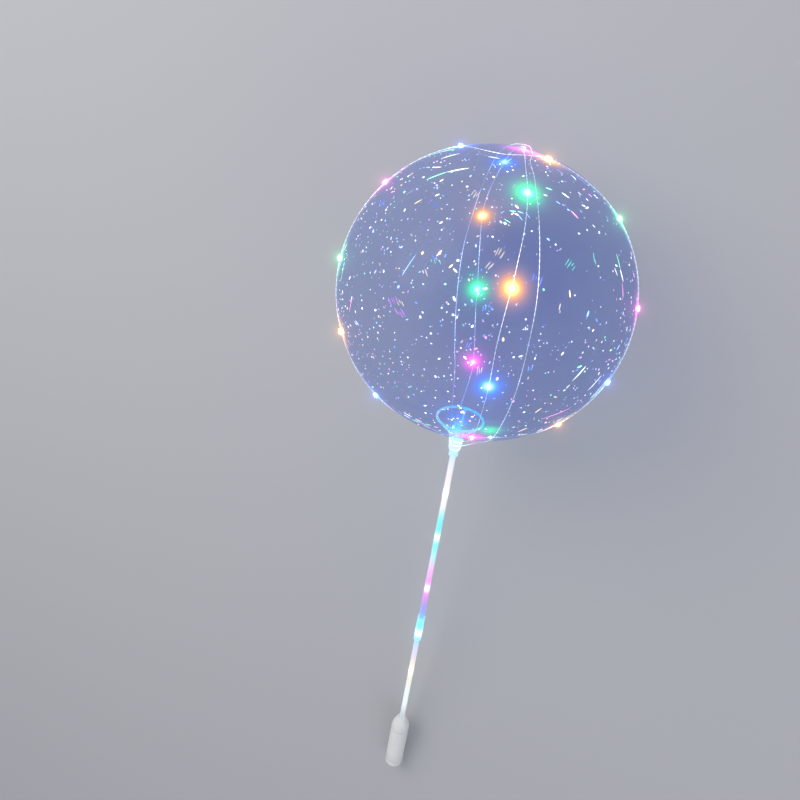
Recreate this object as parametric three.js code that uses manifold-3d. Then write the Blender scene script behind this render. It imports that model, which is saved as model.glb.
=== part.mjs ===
// Lighted clear balloon on a stick, lying on a floor.
// Millimetres, +Z up. The floor is Z = 0 and the origin is the middle of the balloon's small flat spot.
// The balloon's crown points to +Y and the stick runs down to its grip at -Y.
// Every piece is built round the stick's own axis, local Y, with the balloon's centre at 0:
// a station is the distance from that centre towards the grip, so local Y is minus the station.
// A bearing is the angle round the stick, in degrees, 0 on the upper side and 90 towards +X.
import * as THREE from 'three';
import { mergeVertices } from 'three/addons/utils/BufferGeometryUtils.js';
import Module from 'manifold-3d';

const wasm = await Module();
wasm.setup();

// Fits between pieces
const FIT_GAP = 0.3;

// Balloon
const BALLOON_RADIUS = 165;
const BALLOON_HALF_HEIGHT = 162;
const GATHER_RADIUS = 24;
const NECK_RADIUS = 3.2;
const NECK_LENGTH = 32;
const FLAT_DEPTH = 0.5;

// Cup: ring, ribs and hub
const RING_RADIUS = 28.5;
const RING_BAR_RADIUS = 1.5;
const RIB_COUNT = 3;
const RIB_WIDTH = 3.2;
const RIB_DEPTH = 2.8;
const RIB_FIRST_BEARING = 66;
const CUP_DEPTH = 20.5;
const HUB_LIP_RADIUS = 9;
const HUB_WALL = 1.7;
const HUB_CONE_LENGTH = 24;
const HUB_SLEEVE_LENGTH = 8;
const HUB_SLEEVE_WALL = 1.9;
const THROAT_RADIUS = 3.7;
const THROAT_LENGTH = 5;
const SOCKET_DEPTH = 14.8;
const WINDOW_RADIUS = 2;
const WINDOW_BEARING = 100;

// Stick
const TUBE_RADIUS = 4;
const TUBE_WALL = 0.8;
const TUBE_UPPER_LENGTH = 311;
const TUBE_LOWER_LENGTH = 203;
const COUPLER_LENGTH = 44;
const COUPLER_WALL = 1.2;

// Grip and its end cap
const GRIP_RADIUS = 13.5;
const GRIP_WALL = 1.75;
const GRIP_NOSE_RADIUS = 6.6;
const GRIP_NOSE_LENGTH = 16;
const GRIP_SOCKET_DEPTH = 14;
const GRIP_FLOOR_THICKNESS = 8;
const GRIP_BAY_LENGTH = 74;
const WIRE_HOLE_RADIUS = 2;
const CAP_THICKNESS = 6;
const CAP_PLUG_LENGTH = 6;
const CAP_FLAT_DEPTH = 0.35;

// Light string
const WIRE_RADIUS = 0.4;
const WIRE_LIFT = 0.35;
const WIRE_BEND_ERROR = 0.25;
const WIRE_LONGEST_STEP = 26;
const WIRE_TAIL = 3;
const COIL_RADIUS = 1.1;
const COIL_PITCH = 80;
const LIGHT_RADIUS = 1.5;
const LIGHT_LENGTH = 7;
const CROSSING_LIFT = 1.15;
const LEAVE_ANGLE = 75;
// Lights in the stick, as distances below the hub's lower end
const STICK_LIGHTS = [384, 305, 221, 131, 58];
// Lights of each loop, as distances along the wire from the hub
const LOOP_ONE_LIGHTS = [39, 139, 239, 339, 439, 530, 639, 739, 839, 939, 1039];
const LOOP_TWO_LIGHTS = [146, 228, 309, 405, 495, 618, 719, 817, 902, 973, 1073];

// Routes over the balloon, as chosen points: angle from the crown, bearing, lift over the film
const LOOP_ONE = [
  [147, 23, 0], [133, 23, 0], [116, 22.5, 0], [99.3, 22.3, 0], [85, 22, 0], [72, 23, 0],
  [65, 24, 0], [57, 25, 0], [45, 27.2, 0], [31, 29.7, 0], [18, 33, 0], [9, 45, 0],
  [4.5, 80, 0], [3.9, 114, 0], [8, 165, 0], [14, 182, 0], [22, 192, 0], [41, 199, 0],
  [51, 201, 0], [62, 202.6, 0], [71, 203, 0], [91, 201, 0], [108, 199, 0], [118, 198, 0],
  [135, 195, 0], [147, 193, 0],
];
const LOOP_TWO = [
  [147, -33, 0], [138, -35, 0], [124, -42, 0], [110, -49, 0], [95, -57, 0], [81, -65, 0],
  [66, -72, 0], [50.5, -78.6, 0], [35, -84, 0], [20, -92, 0], [16, -75, 0], [12.1, -46, 0],
  [11, -3, 1], [9.5, 25, 1], [9, 45, 1], [9.8, 66, 1], [12.8, 98.7, 0], [30, 103, 0],
  [48, 107, 0], [64, 103, 0], [80, 97.5, 0], [95, 90, 0], [108, 84, 0], [122, 77, 0],
  [135, 71, 0], [147, 66, 0],
];
const RETURN_LOOP = [
  [147, 33, 0], [136, 33, 0], [119, 32, 0], [96, 32.1, 0], [84, 32.3, 0], [68, 33.2, 0],
  [49, 33.9, 0], [32, 35.4, 0], [22, 38, 1], [15, 41, 2], [9.5, 62, 2], [6.5, 95, 2],
  [6.5, 125, 2], [8, 150, 2], [11, 172, 2], [17, 193, 2], [25.3, 203, 0], [46, 205.7, 0],
  [63, 206.8, 0], [75, 207.4, 0], [89, 208.4, 0], [112, 208.4, 0], [129, 208, 0],
  [147, 207.5, 0],
];

// Facets
const BALLOON_FACETS = 40;
const BALLOON_RINGS = 17;
const ROUND_FACETS = 24;
const WIRE_SIDES = 6;
const LIGHT_SIDES = 6;
const LIGHT_RINGS = 3;

// Stations that follow from the sizes
const ringStation = seatStation(RING_RADIUS, RING_BAR_RADIUS + FIT_GAP);
const lipStation = ringStation + CUP_DEPTH;
const coneEndStation = lipStation + HUB_CONE_LENGTH;
const hubEndStation = coneEndStation + HUB_SLEEVE_LENGTH;
const socketRadius = TUBE_RADIUS + FIT_GAP;
const sleeveRadius = socketRadius + HUB_SLEEVE_WALL;
const socketStation = hubEndStation - SOCKET_DEPTH;
const throatStation = socketStation - THROAT_LENGTH;
const windowStation = socketStation - WINDOW_RADIUS - 0.5;
const tubeTopStation = socketStation + FIT_GAP;
const tubeJointStation = tubeTopStation + TUBE_UPPER_LENGTH;
const tubeLowerStation = tubeJointStation + FIT_GAP;
const tubeEndStation = tubeLowerStation + TUBE_LOWER_LENGTH;
const gripTopStation = tubeEndStation + FIT_GAP - GRIP_SOCKET_DEPTH;
const bayStation = gripTopStation + GRIP_SOCKET_DEPTH + GRIP_FLOOR_THICKNESS;
const gripEndStation = bayStation + GRIP_BAY_LENGTH;
const capFaceStation = gripEndStation + FIT_GAP;
const stickEndStation = capFaceStation + CAP_THICKNESS;
const tilt = lyingTilt();
const centreHeight = balloonReach(tilt) - FLAT_DEPTH;

// Where the stick's ring touches the balloon, at a distance from its film
function seatStation(radius, clearance) {
  const share = radius / BALLOON_RADIUS;
  const station = BALLOON_HALF_HEIGHT * Math.sqrt(1 - share * share);
  const slope = (BALLOON_HALF_HEIGHT * BALLOON_HALF_HEIGHT * radius)
    / (BALLOON_RADIUS * BALLOON_RADIUS * station);
  return station + clearance * Math.sqrt(1 + slope * slope);
}

// How far the balloon reaches below its centre when the stick leans down by an angle
function balloonReach(angle) {
  return Math.hypot(BALLOON_RADIUS * Math.cos(angle), BALLOON_HALF_HEIGHT * Math.sin(angle));
}

// The lean at which the balloon and the end cap both touch the floor
function lyingTilt() {
  let angle = 0.15;
  for (let turn = 0; turn < 30; turn += 1) {
    const drop = balloonReach(angle) - FLAT_DEPTH + CAP_FLAT_DEPTH - GRIP_RADIUS * Math.cos(angle);
    angle = Math.asin(drop / stickEndStation);
  }
  return angle;
}

function radians(degrees) {
  return THREE.MathUtils.degToRad(degrees);
}

// A point at a station, a radius and a bearing
function pointAt(station, radius, bearing) {
  const turn = radians(bearing);
  return new THREE.Vector3(radius * Math.sin(turn), -station, radius * Math.cos(turn));
}

// Turns a three.js geometry into a solid that can be joined and cut
function solidFrom(geometry) {
  const bare = geometry.clone();
  bare.deleteAttribute('normal');
  bare.deleteAttribute('uv');
  const merged = mergeVertices(bare, 1e-4);
  const vertices = merged.attributes.position.array;
  const triangles = [];
  let volume = 0;
  const corner = [new THREE.Vector3(), new THREE.Vector3(), new THREE.Vector3()];
  for (let i = 0; i < merged.index.count; i += 3) {
    const [a, b, c] = [0, 1, 2].map((k) => merged.index.getX(i + k));
    if (a === b || b === c || c === a) continue;
    triangles.push([a, b, c]);
    [a, b, c].forEach((v, k) => corner[k].fromArray(vertices, v * 3));
    volume += corner[0].dot(corner[1].clone().cross(corner[2]));
  }
  const outward = triangles.map(([a, b, c]) => (volume < 0 ? [a, c, b] : [a, b, c]));
  return new wasm.Manifold(new wasm.Mesh({
    numProp: 3,
    vertProperties: Float32Array.from(vertices),
    triVerts: Uint32Array.from(outward.flat()),
  }));
}

function geometryFrom(solid) {
  const mesh = solid.getMesh();
  const geometry = new THREE.BufferGeometry();
  geometry.setAttribute('position', new THREE.BufferAttribute(mesh.vertProperties, 3));
  geometry.setIndex(new THREE.BufferAttribute(mesh.triVerts, 1));
  geometry.computeVertexNormals();
  return geometry;
}

// Turns a closed outline of [radius, station] corners round the stick's axis
function turned(corners, facets = ROUND_FACETS) {
  const outline = corners.map(([radius, station]) => new THREE.Vector2(radius, -station));
  if (corners[0][0] > 0) outline.push(outline[0].clone());
  return solidFrom(new THREE.LatheGeometry(outline, facets));
}

// A round bar or hole between two points
function roundBar(from, to, radius, sides = 16) {
  const length = from.distanceTo(to);
  const geometry = new THREE.CylinderGeometry(radius, radius, length, sides);
  const along = to.clone().sub(from).normalize();
  const turn = new THREE.Quaternion().setFromUnitVectors(new THREE.Vector3(0, 1, 0), along);
  geometry.applyQuaternion(turn);
  const middle = from.clone().add(to).multiplyScalar(0.5);
  geometry.translate(middle.x, middle.y, middle.z);
  return solidFrom(geometry);
}

// The room below the floor, in the stick's own frame
function belowFloor() {
  const size = 2 * (BALLOON_RADIUS + stickEndStation);
  const depth = BALLOON_RADIUS / 2;
  const box = new THREE.BoxGeometry(size, size, depth);
  box.translate(0, 0, -centreHeight - depth / 2);
  box.rotateX(-tilt);
  return solidFrom(box);
}

function makeBalloon() {
  const outline = [[0, -BALLOON_HALF_HEIGHT]];
  const gatherAngle = Math.PI - Math.asin(GATHER_RADIUS / BALLOON_RADIUS);
  for (let ring = 1; ring <= BALLOON_RINGS; ring += 1) {
    const angle = (gatherAngle * ring) / BALLOON_RINGS;
    outline.push([BALLOON_RADIUS * Math.sin(angle), -BALLOON_HALF_HEIGHT * Math.cos(angle)]);
  }
  const gatherStation = outline[outline.length - 1][1];
  const neckEnd = BALLOON_HALF_HEIGHT + NECK_LENGTH;
  const drawn = [[0.4, 0.1], [0.16, 0.24], [0.05, 0.42], [0, 0.62]];
  for (const [spread, fall] of drawn) {
    outline.push([
      NECK_RADIUS + (GATHER_RADIUS - NECK_RADIUS) * spread,
      gatherStation + (neckEnd - gatherStation) * fall,
    ]);
  }
  outline.push([NECK_RADIUS, neckEnd], [0, neckEnd]);
  return turned(outline, BALLOON_FACETS).subtract(belowFloor());
}

// One straight rib from the ring to the hub's lip
function makeRib(bearing) {
  const outer = new THREE.Vector2(RING_RADIUS, ringStation);
  const inner = new THREE.Vector2(HUB_LIP_RADIUS - HUB_WALL / 2, lipStation + RIB_DEPTH / 2);
  const length = outer.distanceTo(inner);
  const bar = new THREE.BoxGeometry(RIB_WIDTH, length, RIB_DEPTH);
  bar.rotateX(Math.atan2(outer.x - inner.x, inner.y - outer.y));
  bar.translate(0, -(outer.y + inner.y) / 2, (outer.x + inner.x) / 2);
  bar.rotateY(radians(bearing));
  return solidFrom(bar);
}

function makeCup() {
  const ring = new THREE.TorusGeometry(RING_RADIUS, RING_BAR_RADIUS, 8, 36);
  ring.rotateX(Math.PI / 2);
  ring.translate(0, -ringStation, 0);
  const hub = turned([
    [HUB_LIP_RADIUS, lipStation],
    [sleeveRadius, coneEndStation],
    [sleeveRadius, hubEndStation],
    [socketRadius, hubEndStation],
    [socketRadius, socketStation],
    [THROAT_RADIUS, socketStation],
    [THROAT_RADIUS, throatStation],
    [HUB_LIP_RADIUS - HUB_WALL, lipStation],
  ]);
  const window = roundBar(
    pointAt(windowStation, THROAT_RADIUS / 2, WINDOW_BEARING),
    pointAt(windowStation, 2 * HUB_LIP_RADIUS, WINDOW_BEARING),
    WINDOW_RADIUS,
    10,
  );
  let cup = solidFrom(ring).add(hub);
  for (let rib = 0; rib < RIB_COUNT; rib += 1) {
    cup = cup.add(makeRib(RIB_FIRST_BEARING + (360 * rib) / RIB_COUNT));
  }
  const bore = turned([
    [0, ringStation],
    [HUB_LIP_RADIUS - HUB_WALL, lipStation],
    [THROAT_RADIUS, throatStation],
    [0, throatStation],
  ]);
  return cup.subtract(window).subtract(bore);
}

function makeTube(from, length) {
  return turned([
    [TUBE_RADIUS, from],
    [TUBE_RADIUS, from + length],
    [TUBE_RADIUS - TUBE_WALL, from + length],
    [TUBE_RADIUS - TUBE_WALL, from],
  ]);
}

function makeCoupler() {
  const from = tubeJointStation + FIT_GAP / 2 - COUPLER_LENGTH / 2;
  return turned([
    [socketRadius + COUPLER_WALL, from],
    [socketRadius + COUPLER_WALL, from + COUPLER_LENGTH],
    [socketRadius, from + COUPLER_LENGTH],
    [socketRadius, from],
  ]);
}

function makeGrip() {
  const noseEnd = gripTopStation + GRIP_NOSE_LENGTH;
  return turned([
    [GRIP_NOSE_RADIUS, gripTopStation],
    [GRIP_RADIUS, noseEnd],
    [GRIP_RADIUS, gripEndStation],
    [GRIP_RADIUS - GRIP_WALL, gripEndStation],
    [GRIP_RADIUS - GRIP_WALL, bayStation],
    [WIRE_HOLE_RADIUS, bayStation],
    [WIRE_HOLE_RADIUS, gripTopStation + GRIP_SOCKET_DEPTH],
    [socketRadius, gripTopStation + GRIP_SOCKET_DEPTH],
    [socketRadius, gripTopStation],
  ]);
}

function makeEndCap() {
  const plugRadius = GRIP_RADIUS - GRIP_WALL - FIT_GAP;
  return turned([
    [0, gripEndStation - CAP_PLUG_LENGTH],
    [plugRadius, gripEndStation - CAP_PLUG_LENGTH],
    [plugRadius, capFaceStation],
    [GRIP_RADIUS, capFaceStation],
    [GRIP_RADIUS, stickEndStation],
    [0, stickEndStation],
  ]).subtract(belowFloor());
}

// The hub's outer radius at a station
function hubRadius(station) {
  const share = THREE.MathUtils.clamp((station - lipStation) / HUB_CONE_LENGTH, 0, 1);
  return HUB_LIP_RADIUS + (sleeveRadius - HUB_LIP_RADIUS) * share;
}

// Points over the balloon, lifted clear of its film
function overBalloon(places) {
  const headings = places.map(([crown, bearing]) => new THREE.Vector3(
    Math.sin(radians(crown)) * Math.sin(radians(bearing)),
    Math.cos(radians(crown)),
    Math.sin(radians(crown)) * Math.cos(radians(bearing)),
  ));
  const sweep = new THREE.CatmullRomCurve3(headings, false, 'centripetal');
  const points = [];
  const perPlace = 3;
  for (let i = 0; i <= (places.length - 1) * perPlace; i += 1) {
    const at = Math.min(Math.floor(i / perPlace), places.length - 2);
    const share = THREE.MathUtils.smoothstep(i / perPlace - at, 0, 1);
    const layer = places[at][2] + (places[at + 1][2] - places[at][2]) * share;
    const out = sweep.getPoint(i / ((places.length - 1) * perPlace)).normalize();
    const normal = new THREE.Vector3(
      out.x / BALLOON_RADIUS,
      out.y / BALLOON_HALF_HEIGHT,
      out.z / BALLOON_RADIUS,
    ).normalize();
    const lift = WIRE_RADIUS + WIRE_LIFT + layer * CROSSING_LIFT;
    points.push(new THREE.Vector3(
      BALLOON_RADIUS * out.x,
      BALLOON_HALF_HEIGHT * out.y,
      BALLOON_RADIUS * out.z,
    ).addScaledVector(normal, lift));
  }
  return points;
}

// Turns of wire round the hub, from one bearing to another
function roundHub(fromStation, toStation, fromBearing, toBearing) {
  const steps = Math.ceil(Math.abs(toBearing - fromBearing) / 30);
  return Array.from({ length: steps + 1 }, (_, i) => {
    const station = fromStation + ((toStation - fromStation) * i) / steps;
    const bearing = fromBearing + ((toBearing - fromBearing) * i) / steps;
    return pointAt(station, hubRadius(station) + WIRE_RADIUS + WIRE_LIFT, bearing);
  });
}

// The loose coil inside the stick, from the battery bay up to the hub's throat
function insideStick() {
  const from = bayStation + WIRE_TAIL;
  const to = tubeTopStation + 2;
  const steps = Math.round((12 * (from - to)) / COIL_PITCH);
  return Array.from({ length: steps + 1 }, (_, i) => {
    const station = from + ((to - from) * i) / steps;
    return pointAt(station, COIL_RADIUS, (360 * (from - station)) / COIL_PITCH);
  });
}

// A curve through ready points, which keeps their uneven spacing
class Route extends THREE.Curve {
  constructor(points) {
    super();
    this.points = points;
  }

  getPoint(t, target = new THREE.Vector3()) {
    const last = this.points.length - 1;
    const at = Math.min(Math.floor(t * last + 1e-9), last - 1);
    return target.lerpVectors(this.points[at], this.points[at + 1], t * last - at);
  }

  getPointAt(u, target) {
    return this.getPoint(u, target);
  }

  getTangentAt(u, target = new THREE.Vector3()) {
    const half = 0.5 / (this.points.length - 1);
    const before = this.getPoint(Math.max(u - half, 0));
    return target.copy(this.getPoint(Math.min(u + half, 1))).sub(before).normalize();
  }
}

// Smooths a run of points, then drops those that a straight stretch can do without
function wireRoute(points) {
  const smooth = new THREE.CatmullRomCurve3(points, false, 'centripetal');
  const fine = smooth.getPoints((points.length - 1) * 10);
  const kept = [fine[0]];
  let start = 0;
  for (let end = 2; end < fine.length; end += 1) {
    const chord = new THREE.Line3(fine[start], fine[end]);
    const strays = fine.slice(start + 1, end).some((point) => {
      const near = chord.closestPointToPoint(point, true, new THREE.Vector3());
      return near.distanceTo(point) > WIRE_BEND_ERROR;
    });
    if (strays || chord.distance() > WIRE_LONGEST_STEP) {
      start = end - 1;
      kept.push(fine[start]);
    }
  }
  kept.push(fine[fine.length - 1]);
  return kept;
}

function makeWire(points) {
  const section = new THREE.Shape();
  section.absarc(0, 0, WIRE_RADIUS, 0, 2 * Math.PI);
  const route = wireRoute(points);
  return solidFrom(new THREE.ExtrudeGeometry(section, {
    steps: route.length - 1,
    curveSegments: WIRE_SIDES / 2,
    bevelEnabled: false,
    extrudePath: new Route(route),
  }));
}

// One drop-shaped light, lying along the wire
function makeLight(place, along) {
  const drop = new THREE.SphereGeometry(1, LIGHT_SIDES, LIGHT_RINGS);
  drop.scale(LIGHT_RADIUS, LIGHT_LENGTH / 2, LIGHT_RADIUS);
  drop.applyQuaternion(new THREE.Quaternion().setFromUnitVectors(new THREE.Vector3(0, 1, 0), along));
  drop.translate(place.x, place.y, place.z);
  return solidFrom(drop);
}

// Lights along a run of points, raised clear of the film
function lightsAlong(points, distances) {
  const lights = [];
  let travelled = 0;
  for (let i = 1; i < points.length; i += 1) {
    const step = points[i].distanceTo(points[i - 1]);
    const along = points[i].clone().sub(points[i - 1]).normalize();
    for (const distance of distances) {
      if (distance <= travelled || distance > travelled + step) continue;
      const place = points[i - 1].clone().addScaledVector(along, distance - travelled);
      const out = place.clone().addScaledVector(along, -place.dot(along)).normalize();
      place.addScaledVector(out, LIGHT_RADIUS - WIRE_RADIUS);
      lights.push(makeLight(place, along));
    }
    travelled += step;
  }
  return lights;
}

// The wire's stretches on the hub: each starts and ends where a loop leaves or comes in
function lightStringStretches() {
  const leave = (places) => places[0][1] - LEAVE_ANGLE;
  const arrive = (places) => places[places.length - 1][1] + LEAVE_ANGLE;
  const firstTurns = roundHub(
    windowStation + 0.5,
    windowStation - 2.8,
    WINDOW_BEARING + 40,
    leave(LOOP_ONE) + 720,
  );
  const middleTurns = roundHub(
    windowStation - 5,
    windowStation - 6.4,
    arrive(LOOP_ONE),
    leave(LOOP_TWO) + 720,
  );
  const lastTurns = roundHub(
    windowStation - 8.2,
    windowStation - 9,
    arrive(LOOP_TWO),
    arrive(LOOP_TWO) + 200,
  );
  const exit = [
    pointAt(windowStation + 1, COIL_RADIUS, WINDOW_BEARING),
    pointAt(windowStation, THROAT_RADIUS, WINDOW_BEARING),
    pointAt(windowStation, hubRadius(windowStation), WINDOW_BEARING),
    pointAt(windowStation, hubRadius(windowStation) + 3 * WIRE_RADIUS, WINDOW_BEARING + 8),
  ];
  const loopOne = [firstTurns[firstTurns.length - 1], ...overBalloon(LOOP_ONE), middleTurns[0]];
  const loopTwo = [middleTurns[middleTurns.length - 1], ...overBalloon(LOOP_TWO), lastTurns[0]];
  return { exit, firstTurns, loopOne, middleTurns, loopTwo, lastTurns };
}

function makeLightString() {
  const run = lightStringStretches();
  let lightString = makeWire([
    ...insideStick(),
    ...run.exit,
    ...run.firstTurns,
    ...run.loopOne.slice(1, -1),
    ...run.middleTurns,
    ...run.loopTwo.slice(1, -1),
    ...run.lastTurns,
  ]);
  const lights = [
    ...lightsAlong(run.loopOne, LOOP_ONE_LIGHTS),
    ...lightsAlong(run.loopTwo, LOOP_TWO_LIGHTS),
  ];
  for (const drop of STICK_LIGHTS) {
    const station = hubEndStation + drop;
    const bearing = (360 * (bayStation + WIRE_TAIL - station)) / COIL_PITCH;
    lights.push(makeLight(pointAt(station, COIL_RADIUS, bearing), new THREE.Vector3(0, 1, 0)));
  }
  for (const light of lights) {
    lightString = lightString.add(light);
  }
  return lightString;
}

function makeReturnWire() {
  const start = RETURN_LOOP[0][1] - LEAVE_ANGLE;
  const end = RETURN_LOOP[RETURN_LOOP.length - 1][1] + LEAVE_ANGLE;
  return makeWire([
    ...roundHub(windowStation + 5.4, windowStation + 4.2, start - 330, start),
    ...overBalloon(RETURN_LOOP),
    ...roundHub(windowStation + 7, windowStation + 8.2, end, end + 300),
  ]);
}

const clearFilm = { color: 0x8fa6ff, roughness: 0.05, metalness: 0 };
const clearPlastic = { color: 0xe4eef8, roughness: 0.12, metalness: 0 };
const silverWire = { color: 0xc9ccd2, roughness: 0.3, metalness: 0.9 };
const whitePlastic = { color: 0xe9e9e6, roughness: 0.4, metalness: 0 };

const lying = new THREE.Group();
const pieces = [
  ['balloon', makeBalloon(), clearFilm],
  ['cup', makeCup(), clearPlastic],
  ['tube_upper', makeTube(tubeTopStation, TUBE_UPPER_LENGTH), clearPlastic],
  ['coupler', makeCoupler(), clearPlastic],
  ['tube_lower', makeTube(tubeLowerStation, TUBE_LOWER_LENGTH), clearPlastic],
  ['grip', makeGrip(), whitePlastic],
  ['end_cap', makeEndCap(), whitePlastic],
  ['light_string', makeLightString(), silverWire],
  ['return_wire', makeReturnWire(), silverWire],
];
for (const [name, solid, finish] of pieces) {
  const mesh = new THREE.Mesh(geometryFrom(solid), new THREE.MeshStandardMaterial(finish));
  mesh.name = name;
  lying.add(mesh);
}

// The contact point of a tilted oval balloon is a little off its centre
const contactShift = ((BALLOON_RADIUS ** 2 - BALLOON_HALF_HEIGHT ** 2)
  * Math.sin(tilt) * Math.cos(tilt)) / balloonReach(tilt);
lying.rotation.x = tilt;
lying.position.set(0, -contactShift, centreHeight);

const lightedBalloon = new THREE.Group();
lightedBalloon.add(lying);
lightedBalloon.updateMatrixWorld(true);

export default lightedBalloon;
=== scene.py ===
"""Lighted clear balloon on a stick, lying on a pale floor.

Metres, +Z up, the floor at Z = 0. Every piece is first made upright round the stick's own
axis: local Z points to the balloon's crown, and a station is a distance from the balloon's
centre towards the grip. A bearing is an angle round the stick, 0 on the side that lies
uppermost and 90 degrees towards +X.
"""

import logging
import math
from dataclasses import dataclass, field
from enum import Enum

import bpy
import numpy as np
from mathutils import Matrix, Vector

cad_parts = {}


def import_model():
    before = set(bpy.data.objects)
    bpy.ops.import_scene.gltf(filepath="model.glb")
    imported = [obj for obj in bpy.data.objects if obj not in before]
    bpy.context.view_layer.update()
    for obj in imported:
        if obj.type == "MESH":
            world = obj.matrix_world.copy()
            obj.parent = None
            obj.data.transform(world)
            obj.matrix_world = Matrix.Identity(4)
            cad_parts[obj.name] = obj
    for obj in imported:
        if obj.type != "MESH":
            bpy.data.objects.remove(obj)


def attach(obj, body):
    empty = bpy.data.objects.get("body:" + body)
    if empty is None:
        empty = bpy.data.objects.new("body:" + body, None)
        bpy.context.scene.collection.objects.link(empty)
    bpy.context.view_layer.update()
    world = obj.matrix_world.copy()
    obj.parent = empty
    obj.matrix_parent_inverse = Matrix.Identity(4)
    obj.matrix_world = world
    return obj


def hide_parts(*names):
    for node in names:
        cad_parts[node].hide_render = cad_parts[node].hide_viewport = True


LOG = logging.getLogger("lighted_balloon")
ROOT = "root"
MM = 0.001
TINY = 1e-6

Piece = bpy.types.Object
Socket = bpy.types.NodeSocket
Material = bpy.types.Material
Triple = tuple[float, float, float]
Rgba = tuple[float, float, float, float]

# Angle from the crown, bearing and layer over the film of each chosen point of a loop
Waypoint = Triple

LOOP_ONE: tuple[Waypoint, ...] = (
    (147, 23, 0), (133, 23, 0), (116, 22.5, 0), (99.3, 22.3, 0), (85, 22, 0), (72, 23, 0),
    (65, 24, 0), (57, 25, 0), (45, 27.2, 0), (31, 29.7, 0), (18, 33, 0), (9, 45, 0),
    (4.5, 80, 0), (3.9, 114, 0), (8, 165, 0), (14, 182, 0), (22, 192, 0), (41, 199, 0),
    (51, 201, 0), (62, 202.6, 0), (71, 203, 0), (91, 201, 0), (108, 199, 0), (118, 198, 0),
    (135, 195, 0), (147, 193, 0),
)
LOOP_TWO: tuple[Waypoint, ...] = (
    (147, -33, 0), (138, -35, 0), (124, -42, 0), (110, -49, 0), (95, -57, 0), (81, -65, 0),
    (66, -72, 0), (50.5, -78.6, 0), (35, -84, 0), (20, -92, 0), (16, -75, 0), (12.1, -46, 0),
    (11, -3, 1), (9.5, 25, 1), (9, 45, 1), (9.8, 66, 1), (12.8, 98.7, 0), (30, 103, 0),
    (48, 107, 0), (64, 103, 0), (80, 97.5, 0), (95, 90, 0), (108, 84, 0), (122, 77, 0),
    (135, 71, 0), (147, 66, 0),
)
RETURN_LOOP: tuple[Waypoint, ...] = (
    (147, 33, 0), (136, 33, 0), (119, 32, 0), (96, 32.1, 0), (84, 32.3, 0), (68, 33.2, 0),
    (49, 33.9, 0), (32, 35.4, 0), (22, 38, 1), (15, 41, 2), (9.5, 62, 2), (6.5, 95, 2),
    (6.5, 125, 2), (8, 150, 2), (11, 172, 2), (17, 193, 2), (25.3, 203, 0), (46, 205.7, 0),
    (63, 206.8, 0), (75, 207.4, 0), (89, 208.4, 0), (112, 208.4, 0), (129, 208, 0),
    (147, 207.5, 0),
)


class Glow(Enum):
    """Colours of the string's lights, in the order in which they follow each other."""

    BLUE = (0.01, 0.17, 1.0)
    ORANGE = (1.0, 0.37, 0.0)
    GREEN = (0.02, 1.0, 0.28)
    MAGENTA = (1.0, 0.03, 0.62)

    def after(self, steps: int) -> "Glow":
        """Returns the colour that many lights further along the string."""
        order = list(Glow)
        return order[(order.index(self) + steps) % len(order)]


class Glint(Enum):
    """Colours of the painted glints, small bright reflections of the string's lights on the film.
    """

    WHITE = (0.85, 0.92, 1.0)
    GOLD = (1.0, 0.76, 0.46)
    BLUE = (0.2, 0.38, 1.0)
    GREEN = (0.25, 1.0, 0.55)
    PINK = (1.0, 0.35, 0.8)


# Longer painted glints: reflections of the lights, laid on the film as glowing streaks
# Crown angle, bearing and turn in degrees, half length and half width in millimetres
Streak = tuple[float, float, float, float, float, Glint]

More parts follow.
